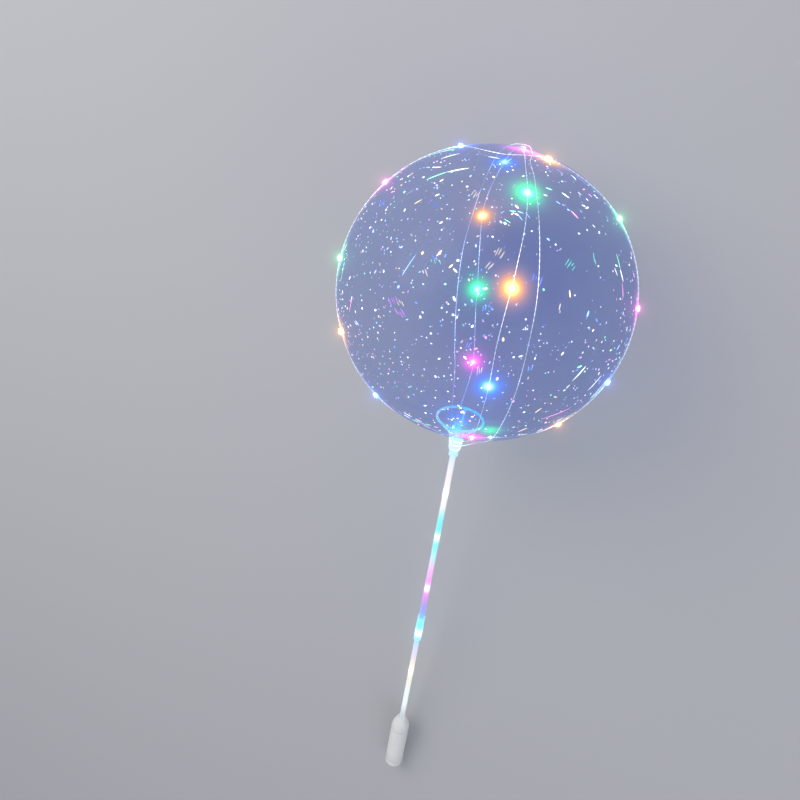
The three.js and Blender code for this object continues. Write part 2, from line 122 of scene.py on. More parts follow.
STREAKS: tuple[Streak, ...] = (
    (27, -80, -16, 19.0, 1.4, Glint.GREEN), (23, -54, -10, 10.0, 0.9, Glint.WHITE),
    (33, -34, -28, 11.1, 0.7, Glint.GREEN), (27, -25, -43, 11.1, 1.0, Glint.WHITE),
    (30, -43, -55, 4.9, 0.9, Glint.GOLD), (34, -27, -12, 2.4, 0.8, Glint.GOLD),
    (21, -33, 68, 4.0, 0.7, Glint.BLUE), (57, -76, 19, 4.8, 1.0, Glint.GOLD),
    (63, -73, -20, 3.4, 1.1, Glint.GOLD), (45, -28, -30, 4.5, 0.5, Glint.GOLD),
    (40, -21, -35, 2.4, 0.9, Glint.WHITE), (59, -5, -24, 3.8, 0.7, Glint.GOLD),
    (62, 1, -33, 2.5, 0.8, Glint.GOLD), (63, 3, 61, 2.8, 0.9, Glint.GOLD),
    (77, -69, 21, 3.0, 0.8, Glint.BLUE), (75, -60, -16, 4.6, 0.8, Glint.WHITE),
    (49, -10, -38, 1.9, 1.0, Glint.GOLD), (66, -15, -14, 12.2, 0.6, Glint.BLUE),
    (37, 23, 45, 2.5, 1.0, Glint.GOLD), (28, 47, 63, 3.4, 0.9, Glint.GREEN),
    (31, 58, 36, 4.6, 0.9, Glint.WHITE), (31, 42, 65, 2.1, 0.8, Glint.WHITE),
    (39, 57, 29, 5.3, 0.7, Glint.PINK), (20, 78, 8, 4.7, 0.8, Glint.BLUE),
    (24, 89, -0, 3.3, 0.8, Glint.WHITE), (20, 99, -2, 7.4, 0.6, Glint.BLUE),
    (27, 97, -8, 8.9, 0.6, Glint.BLUE), (34, 101, 1, 6.0, 0.7, Glint.BLUE),
    (41, 100, -1, 7.9, 0.5, Glint.BLUE), (58, 101, 20, 17.1, 0.6, Glint.BLUE),
    (58, 76, -2, 7.9, 0.7, Glint.GREEN), (63, 76, 6, 6.7, 1.0, Glint.WHITE),
    (68, 75, -5, 7.9, 0.6, Glint.PINK), (61, 72, 17, 4.4, 0.8, Glint.WHITE),
    (66, 90, 24, 3.5, 1.0, Glint.PINK), (66, 46, 7, 3.7, 0.7, Glint.GOLD),
    (73, 54, -21, 3.3, 1.1, Glint.BLUE), (79, 57, -48, 1.6, 0.8, Glint.WHITE),
    (89, 75, -46, 3.8, 1.1, Glint.BLUE), (95, 88, -58, 3.6, 0.9, Glint.BLUE),
    (95, 55, -37, 9.9, 0.8, Glint.WHITE), (92, 54, -78, 3.1, 1.1, Glint.GREEN),
    (102, 67, -37, 10.7, 0.7, Glint.WHITE), (108, 76, -35, 12.7, 0.7, Glint.WHITE),
    (111, 79, -76, 16.4, 0.8, Glint.GREEN), (114, 82, -29, 7.7, 0.7, Glint.BLUE),
    (100, 52, -33, 2.8, 0.7, Glint.WHITE), (111, 44, -32, 4.6, 0.7, Glint.GOLD),
    (125, 44, -34, 6.0, 0.9, Glint.GOLD), (131, 48, -88, 6.6, 0.9, Glint.GOLD),
    (129, 57, -65, 3.6, 1.2, Glint.GOLD), (121, 62, -75, 5.5, 0.8, Glint.WHITE),
    (115, 55, -71, 18.8, 0.4, Glint.PINK), (122, 65, -77, 17.1, 0.5, Glint.GREEN),
    (110, -54, 28, 9.8, 0.9, Glint.WHITE), (122, -46, 34, 2.0, 0.8, Glint.GOLD),
    (121, -39, 89, 3.5, 0.8, Glint.WHITE), (140, -25, 53, 5.2, 0.7, Glint.BLUE),
    (142, -20, 56, 6.1, 0.8, Glint.WHITE), (145, -12, 64, 7.2, 0.8, Glint.GREEN),
    (133, -4, 80, 9.4, 0.6, Glint.WHITE), (82, -52, 10, 10.7, 0.5, Glint.GREEN),
    (89, -38, -7, 9.5, 0.5, Glint.PINK), (14, -10, -78, 6.2, 0.7, Glint.WHITE),
    (14, 12, -20, 7.3, 0.6, Glint.BLUE),
    (130, -11, 85, 5.7, 0.9, Glint.WHITE), (131, -5, 78, 4.4, 0.9, Glint.WHITE),
    (132, 0, -89, 3.5, 0.8, Glint.GREEN), (132, 4, -72, 3.0, 0.8, Glint.PINK),
    (132, -17, 67, 2.9, 0.8, Glint.BLUE), (133, -13, 86, 4.3, 1.0, Glint.WHITE),
    (134, -8, 84, 4.3, 0.9, Glint.GREEN), (136, -2, 75, 4.1, 0.9, Glint.PINK),
    (39, 21, -88, 3.2, 0.5, Glint.GREEN), (39, 25, 74, 3.0, 0.6, Glint.BLUE),
    (40, 21, -34, 1.7, 0.6, Glint.WHITE), (40, 23, 62, 2.1, 0.7, Glint.WHITE),
    (41, 25, 37, 4.3, 0.4, Glint.BLUE), (40, 16, -43, 2.7, 0.3, Glint.BLUE),
    (40, 29, 35, 3.6, 0.3, Glint.BLUE), (43, 19, 64, 3.8, 0.3, Glint.GREEN),
    (34, 49, 49, 2.7, 0.7, Glint.BLUE), (35, 52, 40, 1.8, 0.5, Glint.BLUE),
    (37, 54, 55, 1.6, 1.0, Glint.BLUE), (36, 68, 62, 2.5, 0.9, Glint.WHITE),
    (37, 70, -82, 3.2, 0.9, Glint.WHITE), (38, 63, 33, 1.7, 0.8, Glint.BLUE),
    (34, 76, 24, 1.7, 0.9, Glint.WHITE), (33, 84, 18, 2.6, 0.8, Glint.PINK),
    (34, 91, 55, 2.1, 0.9, Glint.WHITE), (35, 91, 54, 2.1, 0.9, Glint.WHITE),
    (31, 73, 23, 2.4, 0.7, Glint.WHITE), (30, 83, 86, 3.1, 0.8, Glint.PINK),
    (30, 99, 81, 4.0, 0.7, Glint.BLUE), (33, 97, 82, 4.0, 0.7, Glint.BLUE),
    (44, 67, 29, 2.0, 0.8, Glint.WHITE), (45, 61, 34, 1.1, 0.8, Glint.WHITE),
    (46, 55, 63, 1.4, 0.8, Glint.WHITE), (48, 38, 49, 1.9, 0.9, Glint.BLUE),
    (44, 18, 50, 1.6, 1.0, Glint.WHITE), (47, 27, -40, 1.4, 0.6, Glint.GREEN),
)


@dataclass(frozen=True)
class Sizes:
    """The part's sizes and stations, in metres, as its solids have them."""

    balloon_radius: float = 0.165
    balloon_half_height: float = 0.162
    gather_radius: float = 0.024
    neck_radius: float = 0.0032
    neck_length: float = 0.032
    ring_radius: float = 0.0285
    ring_bar: float = 0.0015
    ring_station: float = 0.16139
    rib_width: float = 0.0032
    rib_depth: float = 0.0028
    rib_bearings: tuple[float, ...] = (66.0, 186.0, 306.0)
    lip_radius: float = 0.009
    lip_station: float = 0.18189
    hub_wall: float = 0.0017
    cone_end: float = 0.20589
    hub_end: float = 0.21389
    sleeve_radius: float = 0.0062
    socket_radius: float = 0.0043
    socket_station: float = 0.19909
    throat_radius: float = 0.0037
    throat_station: float = 0.19409
    window_radius: float = 0.002
    window_station: float = 0.19659
    window_bearing: float = 100.0
    tube_radius: float = 0.004
    tube_bore: float = 0.0032
    tube_top: float = 0.19939
    tube_joint: float = 0.51039
    tube_lower_top: float = 0.51069
    tube_end: float = 0.71369
    coupler_radius: float = 0.0055
    coupler_length: float = 0.044
    grip_top: float = 0.69999
    grip_nose: float = 0.71599
    grip_floor: float = 0.71399
    bay_station: float = 0.72199
    grip_end: float = 0.79599
    grip_radius: float = 0.0135
    grip_nose_radius: float = 0.0066
    bay_radius: float = 0.01175
    wire_hole: float = 0.002
    cap_plug: float = 0.78999
    cap_face: float = 0.79629
    cap_end: float = 0.80229
    plug_radius: float = 0.01145
    axis_hole: float = 0.00002

    def half(self) -> np.ndarray:
        """Returns the balloon's half sizes along X, Y and Z."""
        return np.array((self.balloon_radius, self.balloon_radius, self.balloon_half_height))


SIZES = Sizes()


@dataclass(frozen=True)
class Lying:
    """How the upright part is laid down on the floor."""

    tilt: float = math.radians(10.883796)
    shift: float = -0.001103
    height: float = 0.164394

    def matrix(self) -> Matrix:
        """Returns the matrix that lays an upright piece down in its place."""
        turn = Matrix.Rotation(self.tilt - math.pi / 2, 4, "X")
        return Matrix.Translation((0.0, self.shift, self.height)) @ turn

    def points(self, upright: np.ndarray) -> np.ndarray:
        """Lays points down.

        Args:
            upright: points of the upright part, one in each row.

        Returns:
            The same points where they lie.
        """
        matrix = np.array(self.matrix())
        return upright @ matrix[:3, :3].T + matrix[:3, 3]

    def upright(self, lying: np.ndarray) -> np.ndarray:
        """Returns points of the lying part where they are in the upright part."""
        matrix = np.array(self.matrix())
        return (lying - matrix[:3, 3]) @ matrix[:3, :3]


LYING = Lying()


def at(station: float, radius: float, bearing: float) -> np.ndarray:
    """Returns the upright point at a station, a radius and a bearing in degrees."""
    turn = math.radians(bearing)
    return np.array((radius * math.sin(turn), -radius * math.cos(turn), -station))


def heading(crown: np.ndarray | float, bearing: np.ndarray | float) -> np.ndarray:
    """Returns the direction at an angle from the crown and a bearing, in radians."""
    across = np.sin(crown)
    return np.stack((across * np.sin(bearing), -across * np.cos(bearing), np.cos(crown)), axis=-1)


def unit(rows: np.ndarray) -> np.ndarray:
    """Returns one vector, or one in each row, with its length made one."""
    return rows / np.linalg.norm(rows, axis=-1, keepdims=True)


def travelled(points: np.ndarray) -> np.ndarray:
    """Returns how far along their line each of the points is."""
    return np.concatenate(([0.0], np.cumsum(np.linalg.norm(np.diff(points, axis=0), axis=1))))


def over_film(headings: np.ndarray, lift: np.ndarray | float) -> np.ndarray:
    """Returns the points that stand off the film in those directions."""
    return headings * SIZES.half() + unit(headings / SIZES.half()) * lift


def with_white(colour: Triple, white: float) -> Rgba:
    """Returns a colour with a share of white in it."""
    r, g, b = (white + (1.0 - white) * part for part in colour)
    return (r, g, b, 1.0)


# ---------------------------------------------------------------- materials


class Value:
    """A number of the shader tree, which sums and products make further nodes from."""

    def __init__(self, tree: "Tree", socket: Socket) -> None:
        """Keeps the tree and the socket that gives the number."""
        self.tree = tree
        self.socket = socket

    def _maths(self, operation: str, *inputs: "Value | float", clamp: bool = False) -> "Value":
        """Adds one Math node.

        Args:
            operation: the node's operation.
            inputs: its inputs in order, values or numbers.
            clamp: whether the result is kept between 0 and 1.

        Returns:
            The node's result.
        """
        settings = {"operation": operation, "use_clamp": clamp}
        node = self.tree.node("ShaderNodeMath", settings, dict(enumerate(inputs)))
        return Value(self.tree, node.outputs[0])

    def __add__(self, other: "Value | float") -> "Value":
        """Returns the sum."""
        return self._maths("ADD", self, other)

    def __mul__(self, other: "Value | float") -> "Value":
        """Returns the product."""
        return self._maths("MULTIPLY", self, other)

    def __pow__(self, power: float) -> "Value":
        """Returns the number raised to a power."""
        return self._maths("POWER", self, power)

    def clamped(self) -> "Value":
        """Returns the number kept between 0 and 1."""
        return self._maths("ADD", self, 0.0, clamp=True)

    def step(self, low: float, high: float) -> "Value":
        """Turns the number into a step with a smooth rise.

        Args:
            low: where the rise starts.
            high: where it ends.

        Returns:
            The step, between 0 and 1.
        """
        settings = {"interpolation_type": "SMOOTHSTEP"}
        node = self.tree.node("ShaderNodeMapRange", settings, {0: self, 1: low, 2: high})
        return Value(self.tree, node.outputs[0])


class Tree:
    """The node tree of one material."""

    def __init__(self, name: str) -> None:
        """Makes an empty material.

        Args:
            name: the material's name.
        """
        self.material = bpy.data.materials.new(name)
        self.material.use_nodes = True
        self.tree = self.material.node_tree
        self.tree.nodes.clear()
        self.end = self.tree.nodes.new("ShaderNodeOutputMaterial")

    def node(
        self, kind: str, settings: dict | None = None, inputs: dict | None = None
    ) -> bpy.types.Node:
        """Adds one node.

        Args:
            kind: the node's type.
            settings: its properties, set first.
            inputs: values or links of its sockets, by name or number.

        Returns:
            The new node.
        """
        made = self.tree.nodes.new(kind)
        for name, setting in (settings or {}).items():
            setattr(made, name, setting)
        for key, given in (inputs or {}).items():
            socket = made.inputs[key]
            source = given.socket if isinstance(given, Value) else given
            if isinstance(source, Socket):
                self.tree.links.new(source, socket)
            else:
                socket.default_value = source
        return made

    def value(self, node: bpy.types.Node, output: str | int = 0) -> Value:
        """Returns one output of a node as a number."""
        return Value(self, node.outputs[output])

    def noise(self, scale: float, detail: float, stretch: Triple = (1, 1, 1)) -> Value:
        """Adds a noise pattern on the piece's own coordinates.

        Args:
            scale: how fine it is.
            detail: how many finer steps it has.
            stretch: how much finer it is along X, Y and Z.

        Returns:
            The pattern.
        """
        source = self.node("ShaderNodeTexCoord").outputs["Object"]
        mapped = self.node("ShaderNodeMapping", {}, {"Vector": source, "Scale": stretch})
        inputs = {"Vector": mapped.outputs[0], "Scale": scale, "Detail": detail}
        return self.value(self.node("ShaderNodeTexNoise", {}, inputs), "Fac")

    def attribute(self, name: str) -> bpy.types.Node:
        """Returns the node that reads an attribute of the mesh."""
        return self.node("ShaderNodeAttribute", {"attribute_name": name})

    def painted(self, name: str) -> Value:
        """Returns a number that the mesh's vertices carry."""
        return self.value(self.attribute(name), "Fac")

    def glow(self) -> Socket:
        """Returns the colour of the light painted on each vertex."""
        return self.attribute("glow").outputs["Color"]

    def facing(self, blend: float) -> Value:
        """Returns how far the surface turns away from the eye."""
        return self.value(self.node("ShaderNodeLayerWeight", {}, {"Blend": blend}), "Facing")

    def blend(self, share: Value, first: Socket | Rgba, second: Socket | Rgba) -> Socket:
        """Mixes two colours.

        Args:
            share: how much of the second colour shows.
            first: the first colour, a socket or a value.
            second: the second colour, a socket or a value.

        Returns:
            The mixed colour's socket.
        """
        inputs = {0: share, 6: first, 7: second}
        return self.node("ShaderNodeMix", {"data_type": "RGBA"}, inputs).outputs[2]

    def bump(self, height: Value, distance: float) -> Socket:
        """Returns a normal that a height pattern in metres has tilted."""
        return self.node("ShaderNodeBump", {}, {"Height": height, "Distance": distance}).outputs[0]

    def finish(self, surface: Socket) -> Material:
        """Joins the surface to the output and returns the material."""
        self.tree.links.new(surface, self.end.inputs["Surface"])
        return self.material

    def solid(self, inputs: dict) -> Socket:
        """Returns a Principled surface with those inputs."""
        return self.node("ShaderNodeBsdfPrincipled", {}, inputs).outputs[0]

    def over_clear(self, share: Value, through: Rgba, solid: Socket) -> Material:
        """Lays a solid surface thinly over a clear one, and finishes the material.

        Args:
            share: how much of the solid surface shows.
            through: the colour that the clear one lets through.
            solid: the solid surface.

        Returns:
            The material.
        """
        clear = self.node("ShaderNodeBsdfTransparent", {}, {"Color": through}).outputs[0]
        inputs = {0: share.clamped(), 1: clear, 2: solid}
        return self.finish(self.node("ShaderNodeMixShader", {}, inputs).outputs[0])


@dataclass(frozen=True)
class FilmFinish:
    """Clear, shiny, slightly wrinkled film, with the lights' colours painted on it as glow."""

    tint: Rgba = (0.30, 0.42, 0.95, 1.0)
    through: Rgba = (0.76, 0.80, 0.93, 1.0)
    # nearly black base colour under the painted glow, so that only the glow shows there
    beside: Rgba = (0.010, 0.012, 0.020, 1.0)
    body: float = 0.03
    edge: float = 0.6
    lit: float = 0.86
    creased: float = 0.34
    cover: float = 0.9
    wrinkle: float = 0.0012
    glow: float = 3.1

    def material(self) -> Material:
        """Returns the film's material."""
        tree = Tree("clear_film")
        broad = tree.noise(9.0, 3.0)
        fine = tree.noise(70.0, 3.0, (1.0, 1.0, 0.35))
        patch = tree.noise(14.0, 2.0).step(0.5, 0.72)
        halo = tree.painted("halo")
        shell = tree.solid(
            {
                "Base Color": tree.blend((halo * 1.7).clamped(), self.tint, self.beside),
                "Roughness": 0.09,
                "IOR": 1.5,
                "Coat Weight": 0.6,
                "Coat Roughness": 0.03,
                # the lights' glow, painted on the film's vertices
                "Emission Color": tree.glow(),
                "Emission Strength": self.glow,
                "Normal": tree.bump(broad * 0.7 + fine * patch * 0.22, self.wrinkle),
            }
        )
        # more of the film shows where its glow is painted
        share = tree.facing(0.3) ** 3.6 * self.edge + halo * self.lit
        share = share + tree.painted("crease") * self.creased + self.body
        return tree.over_clear(share * self.cover, self.through, shell)


@dataclass(frozen=True)
class ClearPlasticFinish:
    """Clear moulded plastic, with the glow of the string's lights inside it painted on."""

    name: str
    tint: Rgba = (0.60, 0.66, 0.74, 1.0)
    # darker base colour under the painted glow
    lit_tint: Rgba = (0.07, 0.08, 0.09, 1.0)
    through: Rgba = (0.93, 0.96, 1.0, 1.0)
    body: float = 0.24
    edge: float = 0.5
    cover: float = 0.6
    glow: float = 1.1
    flow_depth: float = 0.0004

    def material(self) -> Material:
        """Returns the plastic's material."""
        tree = Tree(self.name)
        flow = tree.noise(60.0, 2.0, (1.0, 0.12, 1.0))
        halo = tree.painted("halo")
        solid = tree.solid(
            {
                "Base Color": tree.blend(halo.clamped(), self.tint, self.lit_tint),
                "Roughness": flow * 0.12 + 0.1,
                "IOR": 1.5,
                "Coat Weight": 0.5,
                "Coat Roughness": 0.05,
                # the lights' glow inside the plastic, painted on the vertices
                "Emission Color": tree.glow(),
                "Emission Strength": self.glow,
                "Normal": tree.bump(flow, self.flow_depth),
            }
        )
        share = tree.facing(0.4) ** 1.6 * self.edge + halo * self.cover + self.body
        return tree.over_clear(share, self.through, solid)


@dataclass(frozen=True)
class WhitePlasticFinish:
    """White moulded plastic with a faint grain and handling marks."""

    name: str = "white_plastic"
    colour: Rgba = (0.88, 0.88, 0.86, 1.0)
    worn: Rgba = (0.74, 0.74, 0.71, 1.0)
    grain_depth: float = 0.00006

    def material(self) -> Material:
        """Returns the plastic's material."""
        tree = Tree(self.name)
        marks = tree.noise(45.0, 4.0).step(0.52, 0.75)
        inputs = {
            "Base Color": tree.blend(marks * 0.35, self.colour, self.worn),
            "Roughness": marks * 0.14 + 0.33,
            "Normal": tree.bump(tree.noise(1800.0, 1.0), self.grain_depth),
        }
        return tree.finish(tree.solid(inputs))


@dataclass(frozen=True)
class WireFinish:
    """Bright enamelled wire, with the lights' glow painted on it in uneven patches."""

    name: str = "silver_wire"
    colour: Rgba = (0.82, 0.84, 0.9, 1.0)
    dull_colour: Rgba = (0.55, 0.58, 0.66, 1.0)
    faint_glow: Rgba = (0.03, 0.04, 0.07, 1.0)
    glow: float = 1.8

    def material(self) -> Material:
        """Returns the wire's material."""
        tree = Tree(self.name)
        dull = tree.noise(220.0, 2.0)
        lit = tree.noise(26.0, 2.0).step(0.34, 0.66) * 0.75 + 0.25
        inputs = {
            "Base Color": tree.blend(dull, self.colour, self.dull_colour),
            "Metallic": 0.9,
            "Roughness": dull * 0.2 + 0.18,
            # painted glow of the lights along the wire
            "Emission Color": tree.blend(lit, self.faint_glow, tree.glow()),
            "Emission Strength": self.glow,
        }
        return tree.finish(tree.solid(inputs))


@dataclass(frozen=True)
class ChipFinish:
    """The lit heart of a light."""

    colour: Glow
    strength: float = 16.0
    white: float = 0.4

    def material(self) -> Material:
        """Returns the lit material, paler in spots."""
        tree = Tree(f"lit_{self.colour.name.lower()}")
        full = (*self.colour.value, 1.0)
        spots = tree.noise(900.0, 1.0).step(0.3, 0.6) * 0.7 + 0.3
        inputs = {
            "Base Color": full,
            "Roughness": 0.4,
            "Emission Color": tree.blend(spots, full, with_white(full[:3], self.white)),
            "Emission Strength": self.strength,
        }
        return tree.finish(tree.solid(inputs))


@dataclass(frozen=True)
class DropFinish:
    """The clear resin drop round a light, tinted by it."""

    colour: Glow
    glow: float = 22.0
    body: float = 0.42
    edge: float = 0.4
    white: float = 0.5
    through: Rgba = (1.0, 1.0, 1.0, 1.0)

    def material(self) -> Material:
        """Returns the drop's material."""
        tree = Tree(f"drop_{self.colour.name.lower()}")
        solid = tree.solid(
            {
                "Base Color": with_white(self.colour.value, self.white),
                "Roughness": 0.06,
                "Coat Weight": 0.8,
                "Emission Color": (*self.colour.value, 1.0),
                "Emission Strength": self.glow,
            }
        )
        return tree.over_clear(tree.facing(0.35) * self.edge + self.body, self.through, solid)


@dataclass(frozen=True)
class GlintFinish:
    """A painted glint, a glowing speck that stands for a reflection of the lights on the film."""

    colour: Glint
    strength: float = 1.8
    dimmest: float = 0.45

    def material(self) -> Material:
        """Returns the speck's material, uneven from speck to speck."""
        tree = Tree(f"glint_{self.colour.name.lower()}")
        full = (*self.colour.value, 1.0)
        dim = (*(self.dimmest * part for part in self.colour.value), 1.0)
        inputs = {
            "Base Color": full,
            "Roughness": 0.2,
            "Emission Color": tree.blend(tree.noise(40.0, 1.0).step(0.3, 0.7), dim, full),
            "Emission Strength": self.strength,
        }
        made = tree.finish(tree.solid(inputs))
        made.cycles.emission_sampling = "NONE"
        return made


@dataclass(frozen=True)
class FloorFinish:
    """The plain pale floor."""

    colour: Rgba = (0.52, 0.52, 0.54, 1.0)

    def material(self) -> Material:
        """Returns the floor's material."""
        tree = Tree("pale_floor")
        return tree.finish(tree.solid({"Base Color": self.colour, "Roughness": 0.75}))


# ---------------------------------------------------------------- modelling


class Bench:
    """Operators on one mesh at a time, as they are used by hand."""

    @staticmethod
    def clear() -> None:
        """Leaves edit mode and deselects everything."""
        if bpy.context.object and bpy.context.object.mode != "OBJECT":
            bpy.ops.object.mode_set(mode="OBJECT")
        bpy.ops.object.select_all(action="DESELECT")

    @staticmethod
    def only(piece: Piece) -> None:
        """Selects one piece alone and makes it active.

        Args:
            piece: the piece.
        """
        Bench.clear()
        piece.select_set(True)
        bpy.context.view_layer.objects.active = piece

    @staticmethod
    def pick(piece: Piece, chosen: np.ndarray) -> None:
        """Selects the vertices that a mask names, and what lies between them.

        Args:
            piece: the piece.
            chosen: a mask with a value for each vertex.
        """
        Bench.only(piece)
        mesh = piece.data
        mesh.vertices.foreach_set("select", chosen.astype(bool))
        ends = np.empty(len(mesh.edges) * 2, dtype=np.int32)
        mesh.edges.foreach_get("vertices", ends)
        mesh.edges.foreach_set("select", chosen[ends].reshape(-1, 2).all(axis=1))
        mesh.polygons.foreach_set(
            "select", np.array([chosen[list(p.vertices)].all() for p in mesh.polygons], dtype=bool)
        )

    @staticmethod
    def places(piece: Piece) -> np.ndarray:
        """Returns the piece's vertices, one in each row."""
        flat = np.empty(len(piece.data.vertices) * 3)
        piece.data.vertices.foreach_get("co", flat)
        return flat.reshape(-1, 3)

    @staticmethod
    def move_to(piece: Piece, places: np.ndarray) -> None:
        """Puts the piece's vertices at new places."""
        piece.data.vertices.foreach_set("co", places.ravel())
        piece.data.update()

    @staticmethod
    def put(name: str, data: bpy.types.ID) -> Piece:
        """Returns a new object of that data, linked to the scene."""
        made = bpy.data.objects.new(name, data)
        bpy.context.scene.collection.objects.link(made)
        return made

    @staticmethod
    def settle(piece: Piece, matrix: Matrix) -> None:
        """Moves a piece by a matrix and applies its place to its mesh.

        Args:
            piece: the piece.
            matrix: how it is moved.
        """
        Bench.only(piece)
        piece.matrix_world = matrix @ piece.matrix_world
        bpy.ops.object.transform_apply(location=True, rotation=True, scale=True)

    @staticmethod
    def draw_out(rise: float, share: float, height: float) -> None:
        """Extrudes the selected ring along the stick, and resizes it at its new height."""
        bpy.ops.mesh.extrude_region_move(TRANSFORM_OT_translate={"value": (0.0, 0.0, rise)})
        bpy.ops.transform.resize(value=(share, share, 1.0), center_override=(0.0, 0.0, height))

    @staticmethod
    def face_out() -> None:
        """Turns all faces outwards and leaves edit mode."""
        bpy.ops.mesh.select_all(action="SELECT")
        bpy.ops.mesh.normals_make_consistent(inside=False)
        bpy.ops.object.mode_set(mode="OBJECT")

    @staticmethod
    def turned(name: str, outline: list[tuple[float, float]], facets: int = 64) -> Piece:
        """Draws a ring out along an outline, by extruding and resizing it.

        Args:
            name: the piece's name.
            outline: radius and station of each corner, closed on itself.
            facets: how many sides the ring has.

        Returns:
            The closed piece, upright.
        """
        Bench.clear()
        radius, station = outline[0]
        bpy.ops.mesh.primitive_circle_add(vertices=facets, radius=radius, location=(0, 0, 0))
        piece = bpy.context.object
        piece.name = piece.data.name = name
        bpy.ops.object.mode_set(mode="EDIT")
        bpy.ops.mesh.select_all(action="SELECT")
        bpy.ops.transform.translate(value=(0.0, 0.0, -station))
        for wider, further in outline[1:]:
            Bench.draw_out(station - further, wider / radius, -further)
            radius, station = wider, further
        bpy.ops.object.mode_set(mode="OBJECT")
        ends = np.zeros(len(piece.data.vertices), dtype=bool)
        ends[:facets] = ends[-facets:] = True
        Bench.pick(piece, ends)
        if outline[0][0] <= SIZES.axis_hole:
            bpy.ops.object.mode_set(mode="EDIT")
            bpy.ops.mesh.select_all(action="SELECT")
            bpy.ops.mesh.remove_doubles(threshold=SIZES.axis_hole)
        else:
            piece.data.polygons.foreach_set("select", [False] * len(piece.data.polygons))
            bpy.ops.object.mode_set(mode="EDIT")
            bpy.ops.mesh.bridge_edge_loops()
        Bench.face_out()
        return piece

    @staticmethod
    def bevelled(piece: Piece, width: float, angle: float, segments: int = 3) -> Piece:
        """Rounds a piece's sharp edges.

        Args:
            piece: the piece.
            width: how wide the rounding is.
            angle: the least angle of a sharp edge, in degrees.
            segments: how many steps the rounding has.

        Returns:
            The same piece.
        """
        Bench.only(piece)
        bevel = piece.modifiers.new("rounded", "BEVEL")
        bevel.width = width
        bevel.segments = segments
        bevel.limit_method = "ANGLE"
        bevel.angle_limit = math.radians(angle)
        bpy.ops.object.modifier_apply(modifier=bevel.name)
        return piece

    @staticmethod
    def cut(piece: Piece, tool: Piece) -> None:
        """Cuts a tool's shape out of a piece.

        Args:
            piece: the piece.
            tool: the shape that is cut out; it is removed.
        """
        Bench.only(piece)
        boolean = piece.modifiers.new("cut", "BOOLEAN")
        boolean.operation = "DIFFERENCE"
        boolean.object = tool
        bpy.ops.object.modifier_apply(modifier=boolean.name)
        bpy.data.objects.remove(tool, do_unlink=True)

    @staticmethod
    def join(name: str, pieces: list[Piece]) -> Piece:
        """Joins pieces into one mesh.

        Args:
            name: the new piece's name.
            pieces: what it is joined from.

        Returns:
            The new piece.
        """
        Bench.only(pieces[0])
        for other in pieces[1:]:
            other.select_set(True)
        bpy.ops.object.join()
        pieces[0].name = pieces[0].data.name = name
        return pieces[0]

    @staticmethod
    def repeat(
        name: str, sample: Piece, spots: list[np.ndarray], dressed: list[int]
    ) -> Piece:
        """Makes one mesh of many copies of a sample, and removes the sample.

        Args:
            name: the new piece's name.
            sample: the shape that is copied.
            spots: a 4 by 4 matrix for each copy.
            dressed: the material slot of each copy.

        Returns:
            The new piece.
        """
        shape = Bench.places(sample)
        faces = [list(p.vertices) for p in sample.data.polygons]
        corners, polygons, slots = [], [], []
        for count, (matrix, slot) in enumerate(zip(spots, dressed)):
            corners.append(shape @ matrix[:3, :3].T + matrix[:3, 3])
            start = count * len(shape)
            polygons += [[start + v for v in face] for face in faces]
            slots += [slot] * len(faces)
        mesh = bpy.data.meshes.new(name)
        mesh.from_pydata(np.concatenate(corners).tolist(), [], polygons)
        mesh.polygons.foreach_set("material_index", slots)
        mesh.update()
        bpy.data.objects.remove(sample, do_unlink=True)
        return Bench.put(name, mesh)

    @staticmethod
    def smooth(piece: Piece, angle: float = 34.0) -> None:
        """Shades the piece smooth but for its sharp edges."""
        Bench.only(piece)
        bpy.ops.object.shade_smooth_by_angle(angle=math.radians(angle))

    @staticmethod
    def lay_down(piece: Piece) -> None:
        """Lays an upright piece in its place and applies that to its mesh.

        Args:
            piece: the piece; what would lie under the floor is raised to it.
        """
        Bench.settle(piece, LYING.matrix())
        places = Bench.places(piece)
        places[:, 2] = np.maximum(places[:, 2], 0.0)
        Bench.move_to(piece, places)

    @staticmethod
    def dress(piece: Piece, materials: list[Material], node: str, slot: str) -> None:
        """Gives a piece its materials, hides the solid that it replaces and attaches it to the
        root.

        Args:
            piece: the piece.
            materials: its materials in the order of its slots, if it hasn't any yet.
            node: the solid that it replaces.
            slot: the solid's own material slot; not used.
        """
        for material in materials:
            piece.data.materials.append(material)
        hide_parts(node)
        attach(piece, ROOT)


@dataclass(frozen=True)
class GlowSpot:
    """A place whose light is painted as glow on the surfaces near it."""

    place: np.ndarray
    tint: Triple
    reach: float
    strength: float


@dataclass(frozen=True)
class Light:
    """One light of the string."""

    place: np.ndarray
    along: np.ndarray
    colour: Glow
    on_film: bool = True
    white: float = 0.34

    def matrix(self) -> np.ndarray:
        """Returns the matrix that puts an upright drop in the light's place."""
        turn = Vector((0, 0, 1)).rotation_difference(Vector(self.along)).to_matrix()
        matrix = np.eye(4)
        matrix[:3, :3] = np.array(turn)
        matrix[:3, 3] = self.place
        return matrix

    def spot(self, reach: float, strength: float) -> GlowSpot:
        """Returns the light's glow on what is near it."""
        return GlowSpot(self.place, self.colour.value, reach, strength)

    def hot_spot(self, reach: float, strength: float) -> GlowSpot:
        """Returns the nearly white glow right beside the light."""
        pale = with_white(self.colour.value, self.white)[:3]
        return GlowSpot(self.place, pale, reach, strength)


def write_glow(piece: Piece, glow: np.ndarray, halo: np.ndarray) -> None:
    """Stores the painted glow's colour, and how much it hides, on the piece's vertices.

    Args:
        piece: the piece.
        glow: the light's colour at each vertex.
        halo: how much it hides there.
    """
    colour = piece.data.attributes.new("glow", "FLOAT_COLOR", "POINT")
    colour.data.foreach_set("color", np.column_stack((glow, np.ones(len(glow)))).ravel())
    cover = piece.data.attributes.new("halo", "FLOAT", "POINT")
    cover.data.foreach_set("value", np.clip(halo, 0.0, 1.0))


